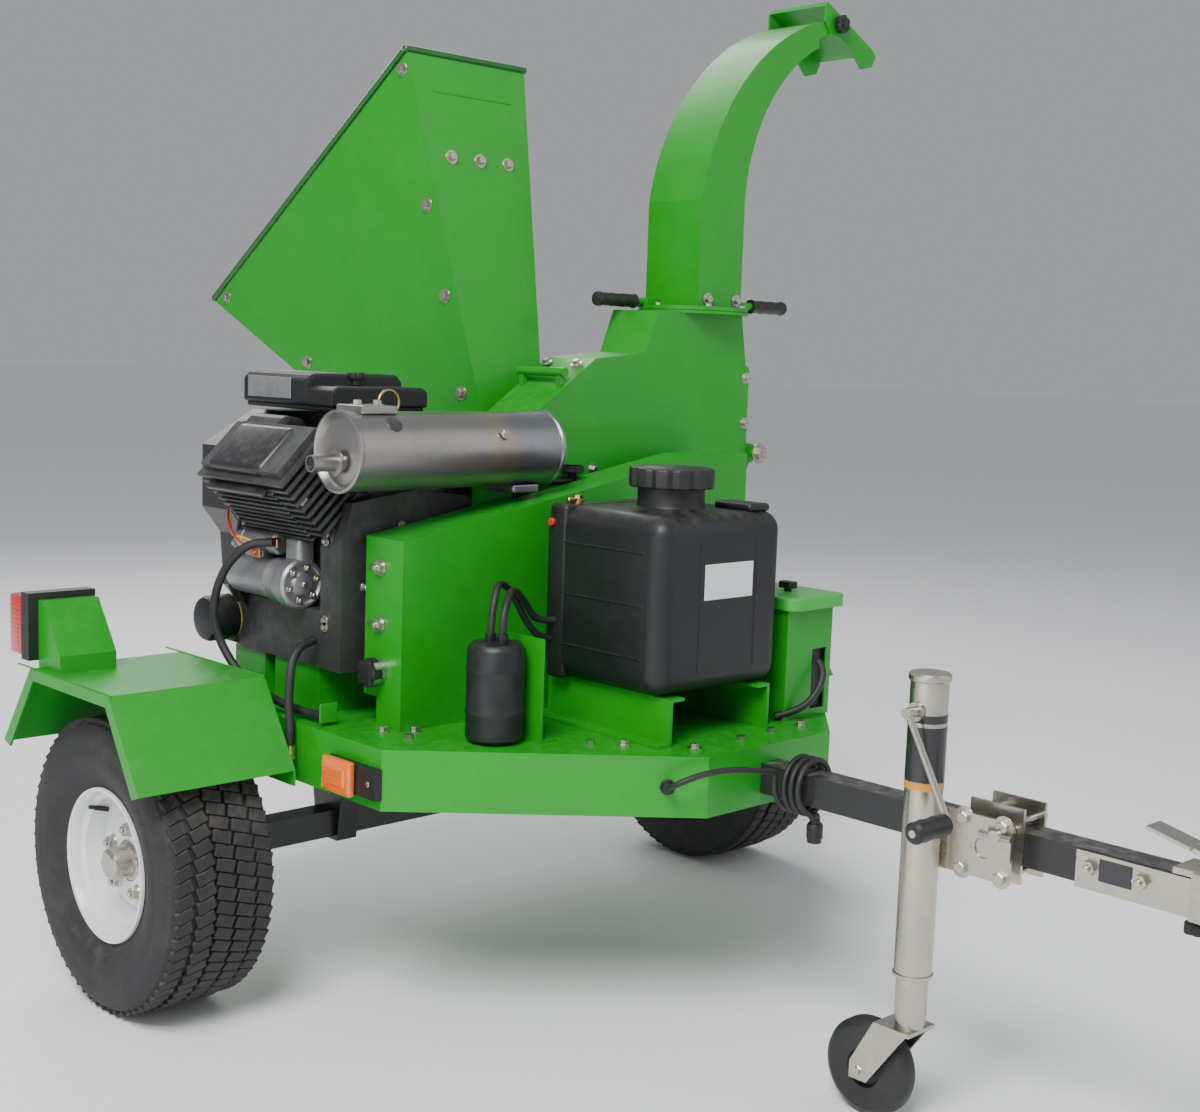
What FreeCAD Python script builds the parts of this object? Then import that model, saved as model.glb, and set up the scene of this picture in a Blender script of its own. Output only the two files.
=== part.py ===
import FreeCAD, Part
import math
import os

# Towable disc wood chipper.  Millimetres; +X towards the hitch, +Y left, +Z up.
# The origin is on the ground, under the middle of the whole machine's box.
V = FreeCAD.Vector

# ---- driving dimensions -------------------------------------------------
AXLE_X = -401.5           # the axle line and the middle plane of the frame,
MIDDLE_Y = -33.5          # measured from the origin
TRACK = 719.5             # tyre centre from the middle plane
TYRE_R = 256.0
TYRE_W = 205.0
RIM_R = 127.0
WHEEL_Z = TYRE_R

DECK_Z = 506.5            # top of the folded deck
SKIRT = 101.0
SHEET = 5.0
DECK_HALF = 550.0
DECK_REAR = -300.0
DECK_SHOULDER = 434.0     # where the deck starts to narrow
DECK_FRONT = 781.0
NOSE_HALF = 156.0

TONGUE_W = 50.8
TONGUE_WALL = 5.0
TONGUE_Z = 452.0
TONGUE_REAR = 420.0
TONGUE_END = 1520.0

SHAFT_Y = 255.0           # rotor shaft
SHAFT_Z = 850.0
CRANK_Y = -330.0          # engine crankshaft
CRANK_Z = 735.0
PLATE_FRONT = 200.0       # outer faces of the chipper housing
PLATE_REAR = 65.0
HOUSING_SPLIT = 908.0
HINGE_Y = 597.0           # hinge of the upper housing
HINGE_Z = 945.0
CHUTE_X = 132.5           # swivel axis of the chute
CHUTE_Y = 460.0
CHUTE_Z = 1240.0
TIP_Y = 796.0             # deflector pivot
TIP_Z = 1867.0

GUARD_X0 = 250.0
GUARD_X1 = 353.0
JACK_X = 1150.0
JACK_Y = -94.0
JACK_PIVOT_X = 1240.0
FIT = 0.05                # radial clearance of a running fit
GAP = 1.0                 # clearance between parts that move past each other

NODES = {}


# ---- small modelling helpers ---------------------------------------------
def box(x0, x1, y0, y1, z0, z1):
    """Axis-parallel block between two corners."""
    return Part.makeBox(x1 - x0, y1 - y0, z1 - z0, V(x0, y0, z0))


def cyl(x, y, z, axis, radius, length):
    """Cylinder that starts at a point and runs along axis."""
    return Part.makeCylinder(radius, length, V(x, y, z), V(*axis))


def ring(x, y, z, axis, outer, inner, length):
    """Tube that starts at a point and runs along axis."""
    return cyl(x, y, z, axis, outer, length).cut(cyl(x, y, z, axis, inner, length))


def prism(points, direction):
    """Solid made by pushing a closed outline of 3-D points along a vector."""
    corners = [V(*p) for p in points]
    return Part.Face(Part.makePolygon(corners + corners[:1])).extrude(V(*direction))


def prism_yz(points, x0, x1):
    return prism([(x0, y, z) for y, z in points], (x1 - x0, 0, 0))


def prism_xz(points, y0, y1):
    return prism([(x, y0, z) for x, z in points], (0, y1 - y0, 0))


def prism_xy(points, z0, z1):
    return prism([(x, y, z0) for x, y in points], (0, 0, z1 - z0))


def inset(points, thickness):
    """Move each side of a convex, counter-clockwise outline inwards."""
    lines = []
    for (ax, ay), (bx, by) in zip(points, points[1:] + points[:1]):
        length = math.hypot(bx - ax, by - ay)
        nx, ny = -(by - ay) / length, (bx - ax) / length
        lines.append((nx, ny, nx * ax + ny * ay + thickness))
    result = []
    for (a, b, c), (d, e, f) in zip(lines[-1:] + lines[:-1], lines):
        det = a * e - b * d
        result.append(((c * e - b * f) / det, (a * f - c * d) / det))
    return result


def fuse(shapes):
    """One solid from overlapping shapes."""
    first = shapes[0]
    return first.fuse(shapes[1:]).removeSplitter() if len(shapes) > 1 else first


def group(shapes):
    """Separate solids kept in one node."""
    return Part.makeCompound(shapes)


def mirror_y(shape):
    return shape.mirror(V(0, 0, 0), V(0, 1, 0))


def node(name, shape):
    """Shift a finished piece from the axle line to the part's origin and keep it."""
    placed = shape.copy()
    placed.translate(V(AXLE_X, MIDDLE_Y, 0))
    NODES[name] = placed


def hex_bolt(x, y, z, axis, width, height, shank_r, shank):
    """Hexagon head on its seat, with a shank going the other way."""
    turn = FreeCAD.Rotation(V(0, 0, 1), V(*axis))
    corners = []
    for i in range(6):
        angle = math.radians(60 * i)
        corners.append(V(width / 1.732 * math.cos(angle), width / 1.732 * math.sin(angle), 0))
    head = Part.Face(Part.makePolygon(corners + corners[:1])).extrude(V(0, 0, height))
    if shank:
        head = head.fuse(Part.makeCylinder(shank_r, shank, V(0, 0, -shank)))
    head.Placement = FreeCAD.Placement(V(x, y, z), turn)
    return head


def hose(points, radius):
    """Tube along straight runs joined by tangent arcs; returns the solid and its length."""
    route = [V(*p) for p in points]
    edges = []
    start = route[0]
    length = 0.0
    tightest = 1e9
    for before, corner, after in zip(route, route[1:], route[2:]):
        run_in = (corner - before).Length
        run_out = (after - corner).Length
        u = (before - corner).normalize()
        w = (after - corner).normalize()
        turn = math.pi - u.getAngle(w)
        reach = 0.45 * min(run_in, run_out)
        bend = reach / math.tan(turn / 2)
        tightest = min(tightest, bend)
        first = corner + u * reach
        last = corner + w * reach
        middle = (u + w).normalize()
        centre = corner + middle * (bend / math.cos(turn / 2))
        apex = centre - middle * bend
        edges.append(Part.LineSegment(start, first).toShape())
        edges.append(Part.Arc(first, apex, last).toShape())
        length += (first - start).Length + bend * turn
        start = last
    edges.append(Part.LineSegment(start, route[-1]).toShape())
    length += (route[-1] - start).Length
    path = Part.Wire(edges)
    circle = Part.Wire(Part.makeCircle(radius, route[0], route[1] - route[0]))
    solid = path.makePipeShell([circle], True, False)
    ideal = math.pi * radius ** 2 * length
    print("hose length %.0f, tightest radius %.0f, volume ratio %.4f"
          % (length, tightest, solid.Volume / ideal))
    return solid


# ---- running gear and deck -------------------------------------------------
DECK_PLAN = [(DECK_REAR, -DECK_HALF), (DECK_SHOULDER, -DECK_HALF), (DECK_FRONT, -NOSE_HALF),
             (DECK_FRONT, NOSE_HALF), (DECK_SHOULDER, DECK_HALF), (DECK_REAR, DECK_HALF)]
RAIL_Y = 330.0
RAIL_W = 50.0
BEAM = 50.0


def make_deck():
    outer = prism_xy(DECK_PLAN, DECK_Z - SKIRT, DECK_Z)
    inner = prism_xy(inset(DECK_PLAN, SHEET), DECK_Z - SKIRT, DECK_Z - SHEET)
    half = TONGUE_W / 2 + 0.5
    slot = box(DECK_FRONT - 20, DECK_FRONT + 20, -half, half, TONGUE_Z - half, TONGUE_Z + half)
    hole = cyl(700, -172, 456, (0.75, -0.661, 0), 13, 60)
    node("deck", outer.cut(inner).cut(slot).cut(hole))


def make_underframe():
    """Two rails and two cross members below the deck sheet, welded to it and to the tongue."""
    top = DECK_Z - SHEET
    parts = []
    for side in (-1, 1):
        y0 = side * RAIL_Y - RAIL_W / 2
        parts.append(box(DECK_REAR + 20, 470, y0, y0 + RAIL_W, top - 75, top))
    for x0 in (-90, 380):
        parts.append(box(x0, x0 + 40, -RAIL_Y, RAIL_Y, top - 75, top))
    node("underframe", fuse(parts))


def make_axle():
    """Square beam, a spindle at each end, and two hangers up to the rails."""
    end = TRACK - 70
    parts = [box(-BEAM / 2, BEAM / 2, -end, end, WHEEL_Z - BEAM / 2, WHEEL_Z + BEAM / 2)]
    for side in (-1, 1):
        parts.append(cyl(0, side * (end - 5), WHEEL_Z, (0, side, 0), 15, 115))
        y0 = side * RAIL_Y - 22
        parts.append(prism_xz([(-60, DECK_Z - SHEET - 75), (60, DECK_Z - SHEET - 75),
                               (34, WHEEL_Z - BEAM / 2 - 8), (-34, WHEEL_Z - BEAM / 2 - 8)],
                              y0, y0 + 44))
    node("axle_beam", fuse(parts))


TYRE_PROFILE = [(RIM_R + 1, -78), (RIM_R + 14, -96), (200, -TYRE_W / 2), (235, -98), (250, -86),
                (TYRE_R, -60), (TYRE_R, 60), (250, 86), (235, 98), (200, TYRE_W / 2),
                (RIM_R + 14, 96), (RIM_R + 1, 78)]
TYRE_BORE = [(165, 70), (190, 88), (225, 84), (240, 66), (240, -66), (225, -84), (190, -88), (165, -70)]


def turned(profile, y, z):
    """Solid of revolution about a line along Y, from (radius, offset) points."""
    points = [V(r, y + t, z) for r, t in profile]
    face = Part.Face(Part.makePolygon(points + points[:1]))
    return face.revolve(V(0, y, z), V(0, 1, 0), 360)


def make_wheel(side, name):
    y = side * TRACK
    tyre = turned(TYRE_PROFILE, y, WHEEL_Z)
    air = turned([(RIM_R + 1, 60), (165, 70)] + TYRE_BORE[1:-1] + [(165, -70), (RIM_R + 1, -60)],
                 y, WHEEL_Z)
    node("tyre_" + name, tyre.cut(air))
    s = side
    barrel = turned([(RIM_R + 1, -96), (RIM_R + 13, -98), (RIM_R + 13, -103), (RIM_R - 3, -101),
                     (RIM_R - 5, -80), (RIM_R - 22, -60), (RIM_R - 22, 60), (RIM_R - 5, 80),
                     (RIM_R - 3, 101), (RIM_R + 13, 103), (RIM_R + 13, 98), (RIM_R + 1, 96),
                     (RIM_R + 0.5, 76), (RIM_R - 17, 58), (RIM_R - 17, -58), (RIM_R + 0.5, -76)],
                    y, WHEEL_Z)
    dish_y = y - s * 8
    web = ring(0, dish_y, WHEEL_Z, (0, s, 0), RIM_R - 20, 33.3, 6)
    for i in range(5):
        angle = math.radians(72 * i + 90)
        web = web.cut(cyl(57.15 * math.cos(angle), dish_y - s, WHEEL_Z + 57.15 * math.sin(angle),
                          (0, s, 0), 7, 10))
    node("rim_" + name, barrel.fuse(web).removeSplitter())
    back = dish_y - s * 0.05
    hub = cyl(0, back, WHEEL_Z, (0, -s, 0), 72, 10)
    hub = hub.fuse([cyl(0, back - s * 5, WHEEL_Z, (0, -s, 0), 40, 45),
                    cyl(0, back - s * 5, WHEEL_Z, (0, s, 0), 33, 72)])
    hub = hub.cut(cyl(0, back - s * 60, WHEEL_Z, (0, s, 0), 15 + FIT, 118))
    pieces = [hub.removeSplitter()]
    for i in range(5):
        angle = math.radians(72 * i + 90)
        x = 57.15 * math.cos(angle)
        z = WHEEL_Z + 57.15 * math.sin(angle)
        pieces.append(hex_bolt(x, dish_y + s * 6.05, z, (0, s, 0), 19, 16, 6, 0))
    node("hub_" + name, group(pieces))


FENDER_IN = 580.0
FENDER_OUT = 868.0
FENDER_TOP = 580.0
FENDER_LIP = 20.0


def make_fender(side, name):
    """Three-facet guard with a turned lip along its outer edge and a flange to the deck."""
    t = 4.0
    line = [(-241, 437), (-137, FENDER_TOP), (139, FENDER_TOP), (237, 436)]
    under = [(232, 434), (137, FENDER_TOP - t), (-135, FENDER_TOP - t), (-236, 434)]
    skin = prism_xz(line + under, FENDER_IN, FENDER_OUT)
    lip_under = [(215, 428), (129, FENDER_TOP - FENDER_LIP), (-127, FENDER_TOP - FENDER_LIP),
                 (-219, 429)]
    lip = prism_xz(line + lip_under, FENDER_OUT - t, FENDER_OUT)
    flange = prism_xz([(-137, FENDER_TOP), (139, FENDER_TOP), (237, 436), (237, 410), (-241, 410),
                       (-241, 437)], FENDER_IN, FENDER_IN + t)
    feet = []
    for x0 in (-150, 60):
        feet.append(box(x0, x0 + 60, DECK_HALF, FENDER_IN + 1, DECK_Z - 70, DECK_Z - 20))
    shape = fuse([skin, lip, flange] + feet)
    node("fender_" + name, shape if side > 0 else mirror_y(shape))


def make_lamps():
    """Sheet boxes on the fenders with tail lamps, and marker lamps on the deck's sides."""
    y0, y1 = 748.0, 850.0
    outline = [(-142, FENDER_TOP), (-62, FENDER_TOP), (-62, 610), (-126, 696), (-142, 696)]
    shell = prism_xz(outline, y0, y1).cut(prism_xz(inset(outline, 3), y0 + 3, y1 - 3))
    boxes = []
    housings = []
    lenses = []
    for side in (1, -1):
        lamp = box(-170, -142, 746, 868, 592, 708)
        lens = box(-222, -170, 748, 866, 595, 700)
        marker = box(300, 436, DECK_HALF, DECK_HALF + 14, 424, 474)
        cap = box(306, 384, DECK_HALF + 14, DECK_HALF + 28, 420, 478)
        for shape, target in ((shell, boxes), (lamp, housings), (marker, housings), (lens, lenses),
                              (cap, lenses)):
            target.append(shape if side > 0 else mirror_y(shape))
    node("lamp_boxes", group(boxes))
    node("lamp_housings", group(housings))
    node("lamp_lenses", group(lenses))


# ---- tongue, coupler and jack ------------------------------------------------
COUPLER_X = 1368.0
BALL_X = 1610.0
BALL_R = 25.6


def make_tongue():
    half = TONGUE_W / 2
    inner = half - TONGUE_WALL
    tube = box(TONGUE_REAR, TONGUE_END, -half, half, TONGUE_Z - half, TONGUE_Z + half)
    tube = tube.cut(box(TONGUE_REAR, TONGUE_END, -inner, inner, TONGUE_Z - inner, TONGUE_Z + inner))
    gusset = box(TONGUE_REAR, TONGUE_REAR + 60, -half, half, TONGUE_Z + half, DECK_Z - SHEET)
    node("tongue", tube.fuse(gusset).removeSplitter())


def make_coupler():
    """Channel bolted over the tongue's end, pressed head with the ball socket, and its latch."""
    half = TONGUE_W / 2
    wall = 5.0
    low = TONGUE_Z - half - wall
    high = TONGUE_Z + half
    outer = box(COUPLER_X, TONGUE_END + 20, -half - wall, half + wall, low, high - 2)
    channel = outer.cut(box(COUPLER_X - 1, TONGUE_END + 21, -half, half, low + wall, high + 1))
    bolts = []
    for x in (COUPLER_X + 22, COUPLER_X + 100):
        bolts.append(hex_bolt(x, -half - wall, TONGUE_Z + 2, (0, -1, 0), 19, 9, 6, 0))
        bolts.append(hex_bolt(x, half + wall, TONGUE_Z + 2, (0, 1, 0), 19, 9, 6, 0))
    node("coupler_channel", group([channel] + bolts))
    x0 = TONGUE_END + 21
    plan = [(x0, -38), (BALL_X - 10, -46), (BALL_X + 26, -36), (BALL_X + 40, -14), (BALL_X + 40, 14),
            (BALL_X + 26, 36), (BALL_X - 10, 46), (x0, 38)]
    head = prism_xy(plan, TONGUE_Z - 32, TONGUE_Z + 34)
    head = head.cut(cyl(BALL_X, 0, TONGUE_Z - 40, (0, 0, 1), BALL_R, 64))
    neck = box(x0 - 30, x0 + 10, -half - wall, half + wall, high + 0.2, high + 9)
    ears = []
    for y in (-18, 13):
        ear = box(x0 + 6, x0 + 26, y, y + 5, TONGUE_Z + 30, TONGUE_Z + 56)
        ears.append(ear.cut(cyl(x0 + 16, y - 1, TONGUE_Z + 46, (0, 1, 0), 4 + FIT, 7)))
    node("coupler_body", fuse([head, neck] + ears))
    pivot = x0 + 16
    high = TONGUE_Z + 46
    fork = cyl(pivot, -12, high, (0, 1, 0), 8, 24).fuse(cyl(pivot, -18, high, (0, 1, 0), 4, 36))
    handle = prism_xz([(pivot + 4, high - 2), (pivot + 4, high + 6), (pivot - 40, TONGUE_Z + 64),
                       (COUPLER_X + 95, TONGUE_Z + 78), (COUPLER_X + 95, TONGUE_Z + 72),
                       (pivot - 40, TONGUE_Z + 56)], -12, 12)
    blade = prism_xz([(pivot - 30, TONGUE_Z + 57), (pivot - 30, TONGUE_Z + 63),
                      (COUPLER_X + 95, TONGUE_Z + 78), (COUPLER_X + 95, TONGUE_Z + 73)], -20, 20)
    node("coupler_latch", fuse([fork, handle, blade]))


JACK_R = 28.5
LEG_R = 24.0
CRANK_TOP = 645.0
CRANK_ARM = 165.0
CASTER_R = 76.0
CASTER_TRAIL = 66.0


def make_jack():
    half = TONGUE_W / 2
    px, jx, jy = JACK_PIVOT_X, JACK_X, JACK_Y
    plate = box(px - 48, px + 42, -half - 7, -half - 1, TONGUE_Z - 52, TONGUE_Z + 60)
    back = box(px - 48, px + 42, half + 1, half + 7, TONGUE_Z - 52, TONGUE_Z + 60)
    boss = cyl(px, -half - 6, TONGUE_Z, (0, -1, 0), 16, 32)
    pieces = [fuse([plate, boss]), back]
    for x in (px - 36, px + 30):
        for z in (TONGUE_Z - 38, TONGUE_Z + 38):
            pieces.append(cyl(x, -half - 0.9, z, (0, 1, 0), 5, 2 * half + 1.8))
            pieces.append(hex_bolt(x, half + 7, z, (0, 1, 0), 17, 8, 5, 0))
    node("jack_bracket", group(pieces))
    swivel = box(jx + 10, px + 44, jy + 28, jy + 34, TONGUE_Z - 46, TONGUE_Z + 46)
    swivel = swivel.cut(cyl(px + 26, jy + 20, TONGUE_Z + 26, (0, 1, 0), 6 + FIT, 30))
    swivel = swivel.cut(cyl(px, jy + 20, TONGUE_Z, (0, 1, 0), 16 + FIT, 30))
    outer = ring(jx, jy, 240, (0, 0, 1), JACK_R, JACK_R - 3, 450)
    cap = cyl(jx, jy, 690, (0, 0, 1), JACK_R + 2, 8)
    web = box(jx - 8, jx + 30, jy + 25.5, jy + 33, TONGUE_Z - 46, TONGUE_Z + 46)
    stub = cyl(jx, jy - JACK_R + 2, CRANK_TOP, (0, -1, 0), 14, 8)
    node("jack_tube", fuse([outer, cap, swivel, web, stub]))
    leg = cyl(jx, jy, 170, (0, 0, 1), LEG_R, 400).cut(cyl(jx, jy, 190, (0, 0, 1), LEG_R - 3, 400))
    node("jack_leg", leg)
    y0 = jy - JACK_R - 6.4
    ux, uz = 0.48, -math.sqrt(1 - 0.48 ** 2)
    ex, ez = jx + CRANK_ARM * ux, CRANK_TOP + CRANK_ARM * uz
    hub = cyl(jx, y0, CRANK_TOP, (0, -1, 0), 8, 22)
    arm = cyl(jx, y0 - 16, CRANK_TOP, (ux, 0, uz), 5.5, CRANK_ARM)
    spindle = cyl(ex, y0 - 12, ez, (0, -1, 0), 5.5, 92)
    node("jack_crank", fuse([hub, arm, spindle]))
    node("jack_grip", ring(ex, y0 - 24, ez, (0, -1, 0), 13, 5.5 + FIT, 76))
    pin_x = px + 26
    pin = cyl(pin_x, jy + 20, TONGUE_Z + 26, (0, 1, 0), 6, 40)
    node("jack_pin", fuse([pin, cyl(pin_x, jy + 20, TONGUE_Z + 26, (0, -1, 0), 9, 10),
                           cyl(pin_x - 26, jy + 15, TONGUE_Z + 26, (1, 0, 0), 4.5, 52)]))
    make_caster(jx, jy)


def make_caster(jx, jy):
    ax = jx - CASTER_TRAIL
    crown = cyl(jx, jy, 160, (0, 0, 1), 22, 9.5)
    plate = box(jx - 42, jx + 22, jy - 34, jy + 34, 155, 161)
    cheeks = []
    for side in (-1, 1):
        y0 = jy + (30 if side > 0 else -34)
        cheek = prism_xz([(jx + 20, 161), (jx - 42, 161), (ax - 16, CASTER_R + 12),
                          (ax - 16, CASTER_R - 14), (ax + 16, CASTER_R - 14)], y0, y0 + 4)
        cheeks.append(cheek)
    axle = cyl(ax, jy - 40, CASTER_R, (0, 1, 0), 6, 80)
    node("caster_fork", fuse([crown, plate] + cheeks + [axle]))
    wheel = turned([(6 + FIT, -27), (14, -27), (16, -22), (50, -20), (60, -25), (CASTER_R, -18),
                    (CASTER_R, 18), (60, 25), (50, 20), (16, 22), (14, 27), (6 + FIT, 27)],
                   jy, CASTER_R)
    wheel.translate(V(ax, 0, 0))
    node("caster_wheel", wheel)


# ---- chipper ---------------------------------------------------------------
UPPER_FRONT = [(-80, HOUSING_SPLIT), (570, HOUSING_SPLIT), (570, 1125), (530, 1150), (256, 1150),
               (118, 1136), (-80, 999)]
LOWER_FRONT = [(-60, 640), (60, 548), (450, 548), (570, 640), (570, HOUSING_SPLIT - GAP),
               (-80, HOUSING_SPLIT - GAP), (-80, 700)]
WALL = 6.0
THROAT = (-8.0, 122.0, 778.0, 902.0)     # infeed: y from, y to, z from, z to
NECK_Y = (378.0, 542.0)
NECK_X = (PLATE_REAR + 2, PLATE_FRONT - 2)
DISC_R = 270.0
SHAFT_R = 22.0


def make_rotor():
    """Heavy disc on its shaft, with fan paddles behind and the knives on the infeed face."""
    disc = cyl(112, SHAFT_Y, SHAFT_Z, (1, 0, 0), DISC_R, 25)
    shaft = cyl(20, SHAFT_Y, SHAFT_Z, (1, 0, 0), SHAFT_R, 320)
    hub = cyl(100, SHAFT_Y, SHAFT_Z, (1, 0, 0), 60, 60)
    paddles = []
    for i in range(4):
        paddle = box(136, 185, SHAFT_Y - 4, SHAFT_Y + 4, SHAFT_Z + 120, SHAFT_Z + DISC_R - 6)
        paddle.rotate(V(0, SHAFT_Y, SHAFT_Z), V(1, 0, 0), 45 + 90 * i)
        paddles.append(paddle)
    body = fuse([disc, shaft, hub] + paddles)
    knives = []
    for i in range(2):
        knife = box(100, 112, SHAFT_Y - 28, SHAFT_Y + 28, SHAFT_Z + 90, SHAFT_Z + 250)
        knife.rotate(V(0, SHAFT_Y, SHAFT_Z), V(1, 0, 0), 180 * i)
        knives.append(knife)
    node("rotor", body)
    node("knives", group(knives))


def make_bearings():
    """A flanged bearing on the outside of each housing plate, around the shaft."""
    pieces = []
    for x, way in ((PLATE_FRONT, 1), (PLATE_REAR, -1)):
        flange = cyl(x, SHAFT_Y, SHAFT_Z, (way, 0, 0), 66, 14)
        nose = cyl(x, SHAFT_Y, SHAFT_Z, (way, 0, 0), 42, 30)
        bore = cyl(x, SHAFT_Y, SHAFT_Z, (way, 0, 0), SHAFT_R + FIT, 31)
        pieces.append(flange.fuse(nose).cut(bore).removeSplitter())
    node("bearings", group(pieces))


def shell(outline, x0, x1):
    """Two plates joined by a rim that follows their outline."""
    return prism_yz(outline, x0, x1).cut(prism_yz(inset(outline, WALL), x0 + WALL, x1 - WALL))


def make_lower_housing():
    body = shell(LOWER_FRONT, PLATE_REAR, PLATE_FRONT)
    top = HOUSING_SPLIT - GAP
    body = body.cut(box(PLATE_REAR + WALL, PLATE_FRONT - WALL, -80 + WALL, 570 - WALL,
                        top - 2 * WALL, top + 5))
    y0, y1, z0, z1 = THROAT
    body = body.cut(box(PLATE_REAR - 1, PLATE_REAR + WALL + 1, y0, y1, z0, z1))
    body = body.cut(cyl(PLATE_REAR - 1, SHAFT_Y, SHAFT_Z, (1, 0, 0), SHAFT_R + 8, 160))
    feet = []
    for y in (-40, 470):
        foot = box(PLATE_REAR + 10, PLATE_FRONT - 10, y, y + 60, DECK_Z, 660)
        feet.append(foot.cut(prism_yz(inset(LOWER_FRONT, WALL), PLATE_REAR, PLATE_FRONT)))
    lugs = []
    for x in (PLATE_REAR + 20, PLATE_FRONT - 32):
        lug = prism_yz([(565, 860), (582, 860), (HINGE_Y + 14, HINGE_Z - 4), (HINGE_Y + 8, HINGE_Z + 13),
                        (HINGE_Y - 8, HINGE_Z + 13), (HINGE_Y - 14, HINGE_Z), (572, 906), (565, 906)],
                       x, x + 12)
        lugs.append(lug)
    pin = cyl(PLATE_REAR - 6, HINGE_Y, HINGE_Z, (1, 0, 0), 8, PLATE_FRONT - PLATE_REAR + 20)
    node("lower_housing", fuse([body] + feet + lugs + [pin]))
    anvil = box(PLATE_REAR + WALL + 1, 98, y0, y1, z0 - 20, z0 - 1)
    node("anvil", anvil)


def make_upper_housing():
    """Lid with the discharge neck and swivel flange, on two lugs beside the lower ones."""
    body = shell(UPPER_FRONT, PLATE_REAR, PLATE_FRONT)
    x0, x1 = PLATE_REAR, PLATE_FRONT
    bottom = HOUSING_SPLIT
    body = body.cut(box(x0 + WALL, x1 - WALL, -80 + WALL, 570 - WALL, bottom - 5, bottom + WALL + 5))
    body = body.cut(box(x0 + WALL, x1 - WALL, NECK_Y[0] + WALL, NECK_Y[1] - WALL, 1120, 1160))
    ny0, ny1 = NECK_Y
    nx0, nx1 = NECK_X
    low = [(256, 1148), (562, 1120), (ny1, CHUTE_Z - 6), (ny0 - 88, CHUTE_Z - 6)]
    low_in = [(256 + 9, 1140), (562 - 9, 1112), (ny1 - WALL, CHUTE_Z), (ny0 - 88 + WALL, CHUTE_Z)]
    neck = prism_yz(low, nx0, nx1).cut(prism_yz(low_in, nx0 + WALL, nx1 - WALL))
    body = body.cut(prism_yz(low_in, nx0 + WALL, nx1 - WALL))
    flange = ring(CHUTE_X, CHUTE_Y, CHUTE_Z - 6, (0, 0, 1), 116, 62, 6)
    lid = box(nx0, nx1, ny0 - 88, ny1, CHUTE_Z - 8, CHUTE_Z - 4)
    lid = lid.cut(cyl(CHUTE_X, CHUTE_Y, CHUTE_Z - 20, (0, 0, 1), 62, 40))
    lugs = []
    for x in (PLATE_REAR + 4, PLATE_FRONT - 16):
        lug = prism_yz([(560, 925), (HINGE_Y - 4, 925), (HINGE_Y + 16, HINGE_Z - 8),
                        (HINGE_Y + 16, HINGE_Z + 8), (HINGE_Y - 2, HINGE_Z + 20), (560, HINGE_Z + 24)],
                       x, x + 12)
        lugs.append(lug.cut(cyl(x - 1, HINGE_Y, HINGE_Z, (1, 0, 0), 8 + FIT, 20)))
    handle = cyl(PLATE_REAR + 2, 40, 1108, (1, 0, 0), 9, PLATE_FRONT - PLATE_REAR - 4)
    posts = []
    for x in (PLATE_REAR + 8, PLATE_FRONT - 20):
        posts.append(box(x, x + 12, 34, 46, 1074, 1108))
    node("upper_housing", fuse([body, neck, flange, lid] + lugs + [handle] + posts))


CHUTE_HALF_X = 75.0
CHUTE_BASE = (393.0, 524.0)
CHUTE_BEND_Z = 1462.0
CHUTE_TOP = [(738, 1864), (742, 1812)]


def chute_side(shrink, x0, x1):
    """Closed side shape of the chute: straight foot, then a long bend that narrows to the tip."""
    a, b = CHUTE_BASE[0] + shrink, CHUTE_BASE[1] - shrink
    z0 = CHUTE_Z + 8
    outer_end = V(x0, CHUTE_TOP[0][0], CHUTE_TOP[0][1] - shrink)
    inner_end = V(x0, CHUTE_TOP[1][0], CHUTE_TOP[1][1] + shrink)
    outer_mid = V(x0, 497 + shrink * 0.8, 1698 - shrink * 0.6)
    inner_mid = V(x0, 589 - shrink * 0.8, 1674 + shrink * 0.5)
    edges = [Part.LineSegment(V(x0, b, z0), V(x0, a, z0)).toShape(),
             Part.LineSegment(V(x0, a, z0), V(x0, a, CHUTE_BEND_Z)).toShape(),
             Part.Arc(V(x0, a, CHUTE_BEND_Z), outer_mid, outer_end).toShape(),
             Part.LineSegment(outer_end, inner_end).toShape(),
             Part.Arc(inner_end, inner_mid, V(x0, b, CHUTE_BEND_Z)).toShape(),
             Part.LineSegment(V(x0, b, CHUTE_BEND_Z), V(x0, b, z0)).toShape()]
    return Part.Face(Part.Wire(edges)).extrude(V(x1 - x0, 0, 0))


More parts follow.
